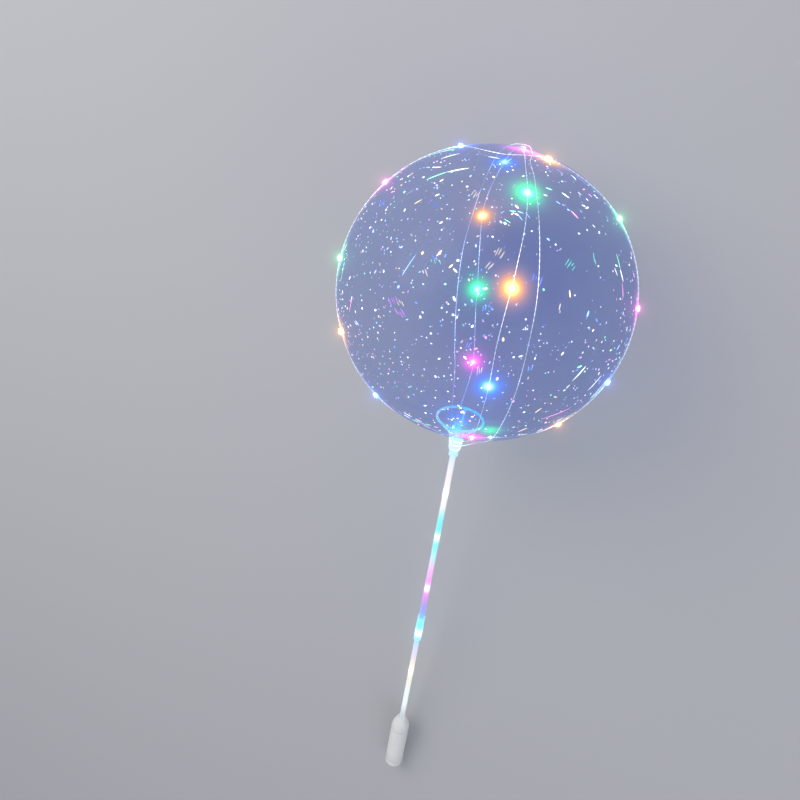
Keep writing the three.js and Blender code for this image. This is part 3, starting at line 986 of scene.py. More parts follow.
def paint_glow(piece: Piece, spots: list[GlowSpot], base: Triple) -> None:
    """Paints on each vertex, as glow, the coloured light that reaches it.

    Args:
        piece: the piece, lying in its place.
        spots: the places that glow, in the upright part.
        base: the colour far from all of them.
    """
    places = Bench.places(piece)
    glow = np.zeros((len(places), 3)) + base
    for spot in spots:
        centre = LYING.points(spot.place[None])[0]
        near = np.exp(-((np.linalg.norm(places - centre, axis=1) / spot.reach) ** 1.5))
        glow += (spot.strength * near)[:, None] * np.array(spot.tint)
    glow = np.clip(glow, 0.0, None)
    write_glow(piece, glow, glow.max(axis=1))


# ---------------------------------------------------------------- the wires


@dataclass(frozen=True)
class Winding:
    """The wires' route over the balloon, round the hub and inside the stick.

    Where the turns round the hub start and end is counted from the wire's window. Turns and
    steps of turns are in degrees.
    """

    wire_radius: float = 0.0004
    lift: float = 0.00035
    layer: float = 0.00115
    coil_radius: float = 0.0011
    coil_pitch: float = 0.080
    tail: float = 0.003
    leave_angle: float = 75.0
    turns_before: float = 720.0
    last_turn: float = 200.0
    return_turns: tuple[float, float] = (330.0, 300.0)
    first_at: tuple[float, float] = (0.0005, -0.0028)
    middle_at: tuple[float, float] = (-0.005, -0.0064)
    last_at: tuple[float, float] = (-0.0082, -0.009)
    return_first_at: tuple[float, float] = (0.0054, 0.0042)
    return_last_at: tuple[float, float] = (0.007, 0.0082)
    hub_step: float = 30.0
    exit_turn: float = 8.0
    exit_room: float = 0.001
    first_turn: float = 40.0
    throat_room: float = 0.002
    coil_steps: int = 12
    loop_steps: int = 3
    sweep_steps: int = 10
    spacing: float = 0.0024
    twist_pitch: float = 0.011

    @staticmethod
    def swept(points: np.ndarray, steps: int) -> np.ndarray:
        """Returns a smooth curve through points.

        Args:
            points: the points, one in each row.
            steps: how many steps each stretch between two points has.

        Returns:
            The curve's points, one in each row.
        """
        ends = (2 * points[0] - points[1], 2 * points[-1] - points[-2])
        p = np.vstack((ends[0], points, ends[1]))
        gap = np.maximum(np.linalg.norm(np.diff(p, axis=0), axis=1) ** 0.5, TINY)[:, None]
        a, b, c, d = p[:-3], p[1:-2], p[2:-1], p[3:]
        g0, g1, g2 = gap[:-2], gap[1:-1], gap[2:]
        out = ((b - a) / g0 - (c - a) / (g0 + g1) + (c - b) / g1) * g1
        back = ((c - b) / g1 - (d - b) / (g1 + g2) + (d - c) / g2) * g1
        t = (np.arange(steps) / steps)[:, None, None]
        curve = (
            (2 * t**3 - 3 * t**2 + 1) * b
            + (t**3 - 2 * t**2 + t) * out
            + (3 * t**2 - 2 * t**3) * c
            + (t**3 - t**2) * back
        )
        return np.vstack((curve.transpose(1, 0, 2).reshape(-1, 3), points[-1:]))

    @staticmethod
    def evenly(points: np.ndarray, step: float) -> np.ndarray:
        """Spaces points evenly along a line.

        Args:
            points: the line's points, one in each row.
            step: the distance.

        Returns:
            The new points, one in each row.
        """
        far = travelled(points)
        wanted = np.linspace(0.0, far[-1], max(2, int(far[-1] / step)))
        return np.column_stack([np.interp(wanted, far, points[:, k]) for k in range(3)])

    def over_balloon(self, loop: tuple[Waypoint, ...]) -> np.ndarray:
        """Leads a loop over the balloon, lifted clear of the film.

        Args:
            loop: the loop's chosen points.

        Returns:
            The wire's points over the film.
        """
        crown, bearing, layer = np.array(loop).T
        out = unit(self.swept(heading(np.radians(crown), np.radians(bearing)), self.loop_steps))
        share = np.arange(len(out)) / self.loop_steps
        index = np.minimum(share.astype(int), len(loop) - 2)
        part = share - index
        rise = layer[index] + (layer[index + 1] - layer[index]) * part**2 * (3 - 2 * part)
        return over_film(out, (self.wire_radius + self.lift + rise * self.layer)[:, None])

    @staticmethod
    def hub_radius(station: float) -> float:
        """Looks up how wide the hub is outside.

        Args:
            station: the station.

        Returns:
            The radius.
        """
        share = (station - SIZES.lip_station) / (SIZES.cone_end - SIZES.lip_station)
        share = min(max(share, 0.0), 1.0)
        return SIZES.lip_radius + (SIZES.sleeve_radius - SIZES.lip_radius) * share

    def round_hub(self, offsets: tuple[float, float], first: float, last: float) -> np.ndarray:
        """Returns turns of wire round the hub.

        Args:
            offsets: how far past the window they start and end.
            first: the first bearing.
            last: the last bearing.

        Returns:
            The points, one in each row.
        """
        steps = math.ceil(abs(last - first) / self.hub_step)
        stations = SIZES.window_station + np.linspace(*offsets, steps + 1)
        off = self.wire_radius + self.lift
        turn = np.linspace(first, last, steps + 1)
        return np.array([at(s, self.hub_radius(s) + off, b) for s, b in zip(stations, turn)])

    def stick_bearing(self, station: float) -> float:
        """Returns the bearing of the loose coil inside the stick at a station."""
        return 360.0 * (SIZES.bay_station + self.tail - station) / self.coil_pitch

    def inside_stick(self) -> np.ndarray:
        """Returns the loose coil from the battery bay up to the hub's throat."""
        start, end = SIZES.bay_station + self.tail, SIZES.tube_top + self.throat_room
        steps = round(self.coil_steps * (start - end) / self.coil_pitch)
        stations = np.linspace(start, end, steps + 1)
        return np.array([at(s, self.coil_radius, self.stick_bearing(s)) for s in stations])

    def stretches(self) -> dict[str, np.ndarray]:
        """Returns the string's stretches from the hub's throat on, in order."""
        station, bearing = SIZES.window_station, SIZES.window_bearing
        outside = self.hub_radius(station)
        exits = (
            (station + self.exit_room, self.coil_radius, bearing),
            (station, SIZES.throat_radius, bearing),
            (station, outside, bearing),
            (station, outside + 3 * self.wire_radius, bearing + self.exit_turn),
        )
        before, after = self.turns_before - self.leave_angle, self.leave_angle
        arrive_two = LOOP_TWO[-1][1] + after
        start = bearing + self.first_turn
        first = self.round_hub(self.first_at, start, LOOP_ONE[0][1] + before)
        middle = self.round_hub(self.middle_at, LOOP_ONE[-1][1] + after, LOOP_TWO[0][1] + before)
        last = self.round_hub(self.last_at, arrive_two, arrive_two + self.last_turn)
        one, two = self.over_balloon(LOOP_ONE), self.over_balloon(LOOP_TWO)
        return {
            "exit": np.array([at(*place) for place in exits]),
            "first": first,
            "one": np.vstack((first[-1:], one, middle[:1])),
            "middle": middle,
            "two": np.vstack((middle[-1:], two, last[:1])),
            "last": last,
        }

    def string_route(self) -> np.ndarray:
        """Returns the whole light string's centre line."""
        run = self.stretches()
        loops = (run["one"][1:-1], run["middle"], run["two"][1:-1], run["last"])
        points = np.vstack((self.inside_stick(), run["exit"], run["first"], *loops))
        return self.evenly(self.swept(points, self.sweep_steps), self.spacing)

    def return_route(self) -> np.ndarray:
        """Returns the bare return wire's centre line."""
        start = RETURN_LOOP[0][1] - self.leave_angle
        end = RETURN_LOOP[-1][1] + self.leave_angle
        before, after = self.return_turns
        first = self.round_hub(self.return_first_at, start - before, start)
        last = self.round_hub(self.return_last_at, end, end + after)
        points = np.vstack((first, self.over_balloon(RETURN_LOOP), last))
        return self.evenly(self.swept(points, self.sweep_steps), self.spacing)

    def twisted(self, name: str, centre: np.ndarray) -> Piece:
        """Makes a pair of fine wires twisted round a centre line.

        Args:
            name: the piece's name.
            centre: the centre line's points, one in each row.

        Returns:
            The pair as one mesh, upright.
        """
        Bench.clear()
        along = unit(np.gradient(centre, axis=0))
        side = np.cross(along[0], (0.3, 0.5, 0.8))
        sides = []
        for direction in along:
            side = unit(side - direction * side.dot(direction))
            sides.append(side)
        across = np.array(sides)
        up = np.cross(along, across)
        turn = (2 * math.pi * travelled(centre) / self.twist_pitch)[:, None]
        strand = self.wire_radius / 2
        curve = bpy.data.curves.new(name, "CURVE")
        curve.dimensions = "3D"
        curve.bevel_depth = strand
        curve.bevel_resolution = 1
        for half in (0.0, math.pi):
            offset = across * np.cos(turn + half) + up * np.sin(turn + half)
            line = centre + offset * strand
            spline = curve.splines.new("POLY")
            spline.points.add(len(line) - 1)
            spline.points.foreach_set("co", np.column_stack((line, np.ones(len(line)))).ravel())
            spline.use_smooth = True
        curve.use_fill_caps = True
        Bench.only(Bench.put(name, curve))
        bpy.ops.object.convert(target="MESH")
        made = bpy.context.object
        made.name = made.data.name = name
        return made


WINDING = Winding()


@dataclass
class LightString:
    """The wire with its lights, and the bare return wire."""

    light_radius: float = 0.0015
    light_length: float = 0.007
    stick: tuple[tuple[float, Glow], ...] = (
        (0.384, Glow.ORANGE), (0.305, Glow.BLUE), (0.221, Glow.MAGENTA),
        (0.131, Glow.GREEN), (0.058, Glow.MAGENTA),
    )
    loop_one: tuple[int, ...] = (39, 139, 239, 339, 439, 530, 639, 739, 839, 939, 1039)
    loop_two: tuple[int, ...] = (146, 228, 309, 405, 495, 618, 719, 817, 902, 973, 1073)
    # A pale blue glow painted on the wires from a spot on the floor under the balloon
    under: Triple = (-0.03, 0.0, 0.0)
    under_glow_colour: Triple = (0.52, 0.58, 0.78)
    under_glow: tuple[float, float] = (0.17, 1.5)
    near_glow: tuple[float, float] = (0.014, 1.3)
    # faint glow painted along all of the wire
    wire_base_glow: Triple = (0.22, 0.26, 0.38)
    chip_half: Triple = (0.00055, 0.00055, 0.00135)
    chip_rounding: float = 0.0003
    snug: float = 0.98
    fullness: float = 0.12
    pinch: float = 0.18
    lights: list[Light] = field(default_factory=list)

    def __post_init__(self) -> None:
        """Works out where every light is."""
        run = WINDING.stretches()
        for below_hub, colour in self.stick:
            station = SIZES.hub_end + below_hub
            place = at(station, WINDING.coil_radius, WINDING.stick_bearing(station))
            self.lights.append(Light(place, np.array((0.0, 0.0, 1.0)), colour, False))
        self.lights += self.along(run["one"], self.loop_one, Glow.GREEN)
        self.lights += self.along(run["two"], self.loop_two, Glow.BLUE)

    def along(self, line: np.ndarray, marks: tuple[int, ...], first: Glow) -> list[Light]:
        """Places lights along a stretch, raised clear of the film.

        Args:
            line: the stretch's points, one in each row.
            marks: distances along it, in millimetres.
            first: the first light's colour.

        Returns:
            The lights in order.
        """
        far = travelled(line)
        lights = []
        for count, mark in enumerate(marks):
            i = int(np.searchsorted(far, mark * MM)) - 1
            direction = unit(line[i + 1] - line[i])
            place = line[i] + direction * (mark * MM - far[i])
            out = unit(place - direction * place.dot(direction))
            place = place + out * (self.light_radius - WINDING.wire_radius)
            lights.append(Light(place, direction, first.after(count)))
        return lights

    def drop(self) -> Piece:
        """Returns one clear drop, fuller at one end, with its wire ends drawn out."""
        Bench.clear()
        bpy.ops.mesh.primitive_uv_sphere_add(segments=14, ring_count=10, radius=1.0)
        piece = bpy.context.object
        places = Bench.places(piece)
        full = (1.0 - self.fullness * places[:, 2]) / (1.0 + self.fullness)
        full *= 1.0 - self.pinch * places[:, 2] ** 6
        places[:, :2] *= (self.light_radius * self.snug * full)[:, None]
        places[:, 2] *= self.light_length / 2
        Bench.move_to(piece, places)
        return piece

    def chip(self) -> Piece:
        """Returns the small lit chip inside a drop."""
        Bench.clear()
        bpy.ops.mesh.primitive_cube_add(size=2.0)
        piece = bpy.context.object
        Bench.move_to(piece, Bench.places(piece) * np.array(self.chip_half))
        return Bench.bevelled(piece, self.chip_rounding, 30.0, 2)

    def build(self) -> list[Piece]:
        """Builds and dresses the string's pieces.

        Returns:
            The wire, the drops, the chips and the return wire.
        """
        spots = [light.matrix() for light in self.lights]
        order = list(Glow)
        slots = [order.index(light.colour) for light in self.lights]
        silver = [WireFinish().material()]
        drops = Bench.repeat("light_drops", self.drop(), spots, slots)
        chips = Bench.repeat("light_chips", self.chip(), spots, slots)
        wire = WINDING.twisted("light_wire", WINDING.string_route())
        back = WINDING.twisted("return_wire_pair", WINDING.return_route())
        named = (
            (drops, [DropFinish(colour).material() for colour in order], "light_string"),
            (chips, [ChipFinish(colour).material() for colour in order], "light_string"),
            (wire, silver, "light_string"),
            (back, silver, "return_wire"),
        )
        # the glow painted on the wires
        glows = [light.spot(*self.near_glow) for light in self.lights]
        under = LYING.upright(np.array([self.under]))[0]
        glows.append(GlowSpot(under, self.under_glow_colour, *self.under_glow))
        for piece, materials, node in named:
            Bench.lay_down(piece)
            Bench.smooth(piece, 50.0)
            if materials is silver:
                paint_glow(piece, glows, self.wire_base_glow)
            Bench.dress(piece, materials, node, "silver_wire")
        return [piece for piece, _, _ in named]


# ---------------------------------------------------------------- balloon, cup, stick


@dataclass
class Balloon:
    """The clear film with its gathered neck, and the painted glints of the lights' reflections on
    it.

    The neck's profile says, for each ring, how wide it is between the neck and the film's
    gathered edge, and how far down it lies. The glow painted round the cup has a station, a
    tint, a reach and a strength in each row. The chances follow the order of the specks' colours.
    """

    lights: list[Light]
    facets: int = 288
    rings: int = 168
    edge_room: float = 0.0001
    neck: tuple[tuple[float, float], ...] = (
        (0.82, 0.022), (0.62, 0.052), (0.44, 0.09), (0.28, 0.15), (0.17, 0.22), (0.09, 0.32),
        (0.04, 0.45), (0.0, 0.62), (0.0, 0.8), (0.05, 0.955), (0.05, 0.985), (-0.06, 1.0),
        (-0.13, 0.985),
    )
    neck_fullness: float = 0.98
    pleats: int = 17
    pleat_depth: float = 0.0016
    pleat_start: float = 0.78
    pleat_scatter: float = 0.3
    pleat_widths: tuple[float, float] = (0.07, 0.13)
    pleat_shares: tuple[float, float] = (0.55, 1.0)
    deepest: float = 0.3
    # Painted glow on the film: round each light, nearly white beside it, round the cup, and faint
    # elsewhere
    film_glow: tuple[float, float] = (0.0135, 1.1)
    hot_glow: tuple[float, float] = (0.0026, 1.9)
    cup_glow: tuple[tuple[float, Triple, float, float], ...] = (
        (0.183, (0.60, 0.80, 0.92), 0.010, 0.34),
        (0.174, (0.06, 0.45, 1.0), 0.019, 0.15),
        (0.160, (0.02, 0.12, 0.8), 0.055, 0.12),
    )
    faint_glow: Triple = (0.010, 0.016, 0.045)
    bare_patches: tuple[tuple[float, float], ...] = ((56.0, 48.0), (85.0, 158.0))
    bare_edge: tuple[float, float] = (0.78, 0.14)
    specks: int = 1450
    speck_half: float = 0.00074
    speck_limit: float = 0.0014
    chances: tuple[float, ...] = (0.46, 0.2, 0.16, 0.08, 0.10)
    streak_rows: int = 26
    row_crowns: tuple[float, float] = (0.4, 2.6)
    row_bearings: tuple[float, float] = (1.9, 5.0)
    row_slant: float = 0.6
    row_gap: float = 0.024
    row_half_widths: tuple[float, float] = (0.0005, 0.0009)
    row_half_lengths: tuple[float, float] = (0.0015, 0.007)
    clear_of_film: float = 0.00012
    seed: int = 7

    def film(self) -> Piece:
        """Models the film from a sphere, whose lower end is drawn out into the neck.

        Returns:
            The film, lying in its place.
        """
        Bench.clear()
        bpy.ops.mesh.primitive_uv_sphere_add(
            segments=self.facets, ring_count=self.rings, radius=1.0
        )
        piece = bpy.context.object
        piece.name = piece.data.name = "balloon_film"
        Bench.move_to(piece, Bench.places(piece) * SIZES.half())
        places = Bench.places(piece)
        around = np.hypot(places[:, 0], places[:, 1])
        Bench.pick(piece, (places[:, 2] < 0) & (around < SIZES.gather_radius - self.edge_room))
        bpy.ops.object.mode_set(mode="EDIT")
        bpy.ops.mesh.delete(type="VERT")
        bpy.ops.object.mode_set(mode="OBJECT")
        places = Bench.places(piece)
        around = np.hypot(places[:, 0], places[:, 1])
        rim = places[:, 2] < 0
        rim &= around < around[rim].min() + self.edge_room / 10
        Bench.pick(piece, rim)
        radius, height = around[rim].mean(), places[rim, 2].mean()
        bpy.ops.object.mode_set(mode="EDIT")
        end = -(SIZES.balloon_half_height + SIZES.neck_length)
        room = (SIZES.gather_radius - SIZES.neck_radius) * self.neck_fullness
        level = height
        for spread, fall in self.neck:
            wider = SIZES.neck_radius + room * spread
            lower = height + (end - height) * fall
            Bench.draw_out(lower - level, wider / radius, lower)
            radius, level = wider, lower
        bpy.ops.mesh.merge(type="CENTER")
        Bench.face_out()
        self.gather(piece)
        Bench.lay_down(piece)
        Bench.smooth(piece, 60.0)
        return piece

    def gather(self, piece: Piece) -> None:
        """Draws the film into pleats that run into the neck, and notes how deep they are.

        Args:
            piece: the film, upright.
        """
        rng = np.random.default_rng(self.seed)
        places = Bench.places(piece)
        bearing = np.arctan2(places[:, 0], -places[:, 1])
        around = np.hypot(places[:, 0], places[:, 1])
        below = np.clip(-places[:, 2] / SIZES.balloon_half_height, 0.0, None)
        start = (below - self.pleat_start) / (1.0 - self.pleat_start)
        start = np.clip(start, 0.0, 1.0) ** 2
        fold = np.zeros(len(places))
        for count in range(self.pleats):
            scatter = rng.uniform(-self.pleat_scatter, self.pleat_scatter)
            centre = 2 * math.pi * (count + scatter) / self.pleats
            width = rng.uniform(*self.pleat_widths)
            off = np.angle(np.exp(1j * (bearing - centre)))
            fold += rng.uniform(*self.pleat_shares) * np.exp(-((off / width) ** 2))
        outer = around > SIZES.gather_radius
        share = np.where(outer, start, np.clip(around / SIZES.gather_radius, 0.25, 1.0))
        inward = np.minimum(fold * share * self.pleat_depth, around * self.deepest)
        share = np.where(around > TINY, 1.0 - inward / np.maximum(around, TINY), 1.0)
        places[outer] *= (1.0 - inward[outer] / SIZES.balloon_radius)[:, None]
        places[~outer, :2] *= share[~outer, None]
        Bench.move_to(piece, places)
        crease = piece.data.attributes.new("crease", "FLOAT", "POINT")
        neck = np.where(outer, 0.0, 1.0 - around / SIZES.gather_radius)
        crease.data.foreach_set("value", np.clip(fold * start + neck, 0.0, 1.4))

    @staticmethod
    def speck_matrix(
        crown: float, bearing: float, size: float, length: float, turn: float
    ) -> np.ndarray:
        """Returns the matrix that lays a flat speck on the film.

        Args:
            crown: its angle from the crown, in radians.
            bearing: its bearing, in radians.
            size: its half width.
            length: its half length.
            turn: how far it is turned on the film, in radians.

        Returns:
            The 4 by 4 matrix.
        """
        out = heading(crown, bearing)
        normal = unit(out / SIZES.half())
        level = unit(np.cross((0.0, 0.0, 1.0), normal))
        across = level * math.cos(turn) + np.cross(normal, level) * math.sin(turn)
        along = np.cross(normal, across)
        matrix = np.eye(4)
        matrix[:3] = np.column_stack(
            (across * size, along * length, normal * size, out * SIZES.half())
        )
        return matrix

    def wrap(self, piece: Piece) -> None:
        """Bends flat specks and streaks to the film, just clear of it."""
        out = unit(Bench.places(piece) / SIZES.half())
        Bench.move_to(piece, over_film(out, self.clear_of_film))

    def speck_spots(self, rng: np.random.Generator) -> tuple[list[np.ndarray], list[int]]:
        """Scatters single specks, with fewer where the film is nearly bare.

        Args:
            rng: the source of their scatter.

        Returns:
            The specks' matrices and their colours' numbers.
        """
        bare_from, bare_over = self.bare_edge
        middles = [heading(*np.radians(patch)) for patch in self.bare_patches]
        spots, slots = [], []
        while len(spots) < self.specks:
            crown = math.acos(rng.uniform(-0.93, 0.98))
            bearing = rng.uniform(-math.pi, math.pi)
            nearest = max(float(heading(crown, bearing) @ middle) for middle in middles)
            bare = min(max((nearest - bare_from) / bare_over, 0.0), 1.0)
            clump = math.sin(5.0 * bearing + 3.0 * crown) * math.sin(4.0 * crown - bearing)
            if rng.uniform() > (1.0 - 0.85 * bare) * (0.5 + 0.5 * max(clump, 0.0)):
                continue
            size = min(self.speck_half * rng.lognormal(0.0, 0.34), self.speck_limit)
            length = size * rng.choice((1.0, 1.3, 1.8, 2.4), p=(0.4, 0.3, 0.2, 0.1))
            spots.append(self.speck_matrix(crown, bearing, size, length, rng.uniform(-1.2, 1.2)))
            slots.append(int(rng.choice(len(Glint), p=self.chances)))
        return spots, slots

    def streak_spots(self, rng: np.random.Generator) -> tuple[list[np.ndarray], list[int]]:
        """Places the longer streaks, and short rows of them all round the film.

        Args:
            rng: the source of the rows' scatter.

        Returns:
            The streaks' matrices and their colours' numbers.
        """
        colours = list(Glint)
        spots, slots = [], []
        for crown, bearing, turn, length, width, colour in STREAKS:
            angles = [math.radians(angle) for angle in (crown, bearing, turn)]
            spots.append(self.speck_matrix(*angles[:2], width * MM, length * MM, angles[2]))
            slots.append(colours.index(colour))
        for _ in range(self.streak_rows):
            crown = rng.uniform(*self.row_crowns)
            bearing = rng.uniform(*self.row_bearings)
            slot = int(rng.integers(len(colours)))
            slant = rng.uniform(-self.row_slant, self.row_slant)
            for row in range(int(rng.integers(2, 5))):
                away = row * self.row_gap + rng.uniform(-0.005, 0.005)
                spot = self.speck_matrix(
                    crown + rng.uniform(-0.02, 0.02),
                    bearing + away,
                    rng.uniform(*self.row_half_widths),
                    rng.uniform(*self.row_half_lengths),
                    slant + rng.uniform(-0.08, 0.08),
                )
                spots.append(spot)
                slots.append(slot)
        return spots, slots

    def glints(self) -> Piece:
        """Makes the painted reflections: small bright specks and streaks on the film.

        Returns:
            All of them as one piece, lying in their place.
        """
        rng = np.random.default_rng(self.seed)
        Bench.clear()
        bpy.ops.mesh.primitive_circle_add(vertices=7, radius=1.0, fill_type="TRIFAN")
        specks = Bench.repeat("specks", bpy.context.object, *self.speck_spots(rng))
        Bench.clear()
        bpy.ops.mesh.primitive_grid_add(x_subdivisions=1, y_subdivisions=12, size=2.0)
        strip = bpy.context.object
        places = Bench.places(strip)
        places[:, 0] *= np.clip(1.0 - places[:, 1] ** 2, 0.02, 1.0) ** 0.6
        Bench.move_to(strip, places)
        streaks = Bench.repeat("streaks", strip, *self.streak_spots(rng))
        materials = [GlintFinish(colour).material() for colour in Glint]
        for part in (specks, streaks):
            for material in materials:
                part.data.materials.append(material)
        piece = Bench.join("film_glints", [specks, streaks])
        self.wrap(piece)
        Bench.lay_down(piece)
        return piece

    def build(self) -> list[Piece]:
        """Builds and dresses the film, with its painted glow, and its painted glints.

        Returns:
            The two pieces.
        """
        film = self.film()
        on_film = [light for light in self.lights if light.on_film]
        # the lights' and the cup's glow, painted on the film
        spots = [light.spot(*self.film_glow) for light in on_film]
        spots += [light.hot_spot(*self.hot_glow) for light in on_film]
        spots += [GlowSpot(at(station, 0.0, 0.0), *look) for station, *look in self.cup_glow]
        paint_glow(film, spots, self.faint_glow)
        glints = self.glints()
        Bench.dress(film, [FilmFinish().material()], "balloon", "clear_film")
        Bench.dress(glints, [], "balloon", "clear_film")
        return [film, glints]


@dataclass
class Cup:
    """The moulded cup: ring, ribs, tapered hub and sleeve.

    Each row of the painted glow has a place (station, radius and bearing), a tint that is
    added to the cyan glow painted over the whole cup or taken from it, a reach and a strength.
    """

    lights: list[Light]
    rounding: float = 0.00035
    rib_rounding: float = 0.0007
    rib_waist: float = 0.72
    light_glow: tuple[float, float] = (0.02, 0.5)
    glows: tuple[tuple[Triple, Triple, float, float], ...] = (
        ((0.206, 0.0, 0.0), (0.24, -0.30, -0.52), 0.017, 1.0),
        ((0.176, 0.0, 0.0), (0.62, 0.34, 0.14), 0.012, 0.5),
        ((0.163, 0.0285, -72.0), (0.60, 0.20, 0.04), 0.020, 0.75),
        ((0.172, 0.0190, -54.0), (0.60, 0.22, 0.04), 0.010, 0.75),
        ((0.168, 0.0230, 62.0), (0.60, 0.20, 0.04), 0.011, 0.70),
    )
    # cyan glow painted over the whole cup
    tint: Triple = (0.11, 0.70, 0.96)

    def ring(self) -> Piece:
        """Returns the round seat ring."""
        Bench.clear()
        bpy.ops.mesh.primitive_torus_add(
            major_radius=SIZES.ring_radius,
            minor_radius=SIZES.ring_bar,
            major_segments=96,
            minor_segments=14,
            location=(0.0, 0.0, -SIZES.ring_station),
        )
        piece = bpy.context.object
        bpy.ops.object.transform_apply(location=True, rotation=True, scale=True)
        return piece

    def rib(self, bearing: float) -> Piece:
        """Models one straight rib, thicker at its two ends.

        Args:
            bearing: where it stands, in degrees.

        Returns:
            The rib, upright.
        """
        outer = at(SIZES.ring_station, SIZES.ring_radius, bearing)
        foot = SIZES.lip_station + SIZES.rib_depth / 2
        inner = at(foot, SIZES.lip_radius - SIZES.hub_wall / 2, bearing)
        Bench.clear()
        bpy.ops.mesh.primitive_cube_add(size=1.0)
        piece = bpy.context.object
        bpy.ops.object.mode_set(mode="EDIT")
        bpy.ops.mesh.subdivide(number_cuts=7)
        bpy.ops.object.mode_set(mode="OBJECT")
        places = Bench.places(piece)
        waist = self.rib_waist + (1.0 - self.rib_waist) * (2 * np.abs(places[:, 2])) ** 3
        length = float(np.linalg.norm(outer - inner))
        places *= np.array((SIZES.rib_width, SIZES.rib_depth, length))
        places[:, :2] *= waist[:, None]
        Bench.move_to(piece, places)
        Bench.bevelled(piece, self.rib_rounding, 50.0)
        tangent = at(0.0, 1.0, bearing + 90)
        along = (outer - inner) / length
        middle = (outer + inner) / 2
        matrix = np.eye(4)
        matrix[:3] = np.column_stack((tangent, np.cross(along, tangent), along, middle))
        Bench.settle(piece, Matrix(matrix.tolist()))
        return piece

    def hub(self) -> Piece:
        """Models the hub: a lip, a cone, a rim at the sleeve's end and the bore inside.

        Returns:
            The hub, upright, with the wire's window cut in it.
        """
        s = SIZES
        hub = Bench.turned(
            "hub",
            [
                (s.lip_radius, s.lip_station),
                (s.lip_radius - 0.0006, s.lip_station + 0.004),
                (s.sleeve_radius + 0.0007, s.cone_end - 0.003),
                (s.sleeve_radius - 0.0003, s.cone_end),
                (s.sleeve_radius - 0.0003, s.hub_end - 0.0018),
                (s.sleeve_radius, s.hub_end - 0.0012),
                (s.sleeve_radius, s.hub_end),
                (s.socket_radius, s.hub_end),
                (s.socket_radius, s.socket_station),
                (s.throat_radius, s.socket_station),
                (s.throat_radius, s.throat_station),
                (s.lip_radius - s.hub_wall, s.lip_station),
            ],
        )
        Bench.bevelled(hub, self.rounding, 20.0)
        Bench.clear()
        middle = at(s.window_station, 2 * s.throat_radius, s.window_bearing)
        bpy.ops.mesh.primitive_cylinder_add(
            vertices=24, radius=s.window_radius, depth=2 * s.throat_radius, location=middle
        )
        tool = bpy.context.object
        out = Vector(at(0.0, 1.0, s.window_bearing))
        tool.rotation_mode = "QUATERNION"
        tool.rotation_quaternion = Vector((0, 0, 1)).rotation_difference(out)
        Bench.cut(hub, tool)
        return hub

    def build(self) -> list[Piece]:
        """Builds and dresses the cup.

        Returns:
            The cup as one piece.
        """
        ribs = [self.rib(bearing) for bearing in SIZES.rib_bearings]
        cup = Bench.join("cup_moulding", [self.hub(), self.ring(), *ribs])
        Bench.lay_down(cup)
        Bench.smooth(cup)
        # The lights' glow painted on the cup: whiter at the hub, warmer near the lip, orange near
        # the ring
        near = [light.spot(*self.light_glow) for light in self.lights]
        near += [GlowSpot(at(*place), *look) for place, *look in self.glows]
        paint_glow(cup, near, self.tint)
        clear = ClearPlasticFinish("clear_cup", body=0.42, cover=0.45, glow=1.3).material()
        Bench.dress(cup, [clear], "cup", "clear_plastic")
        return [cup]


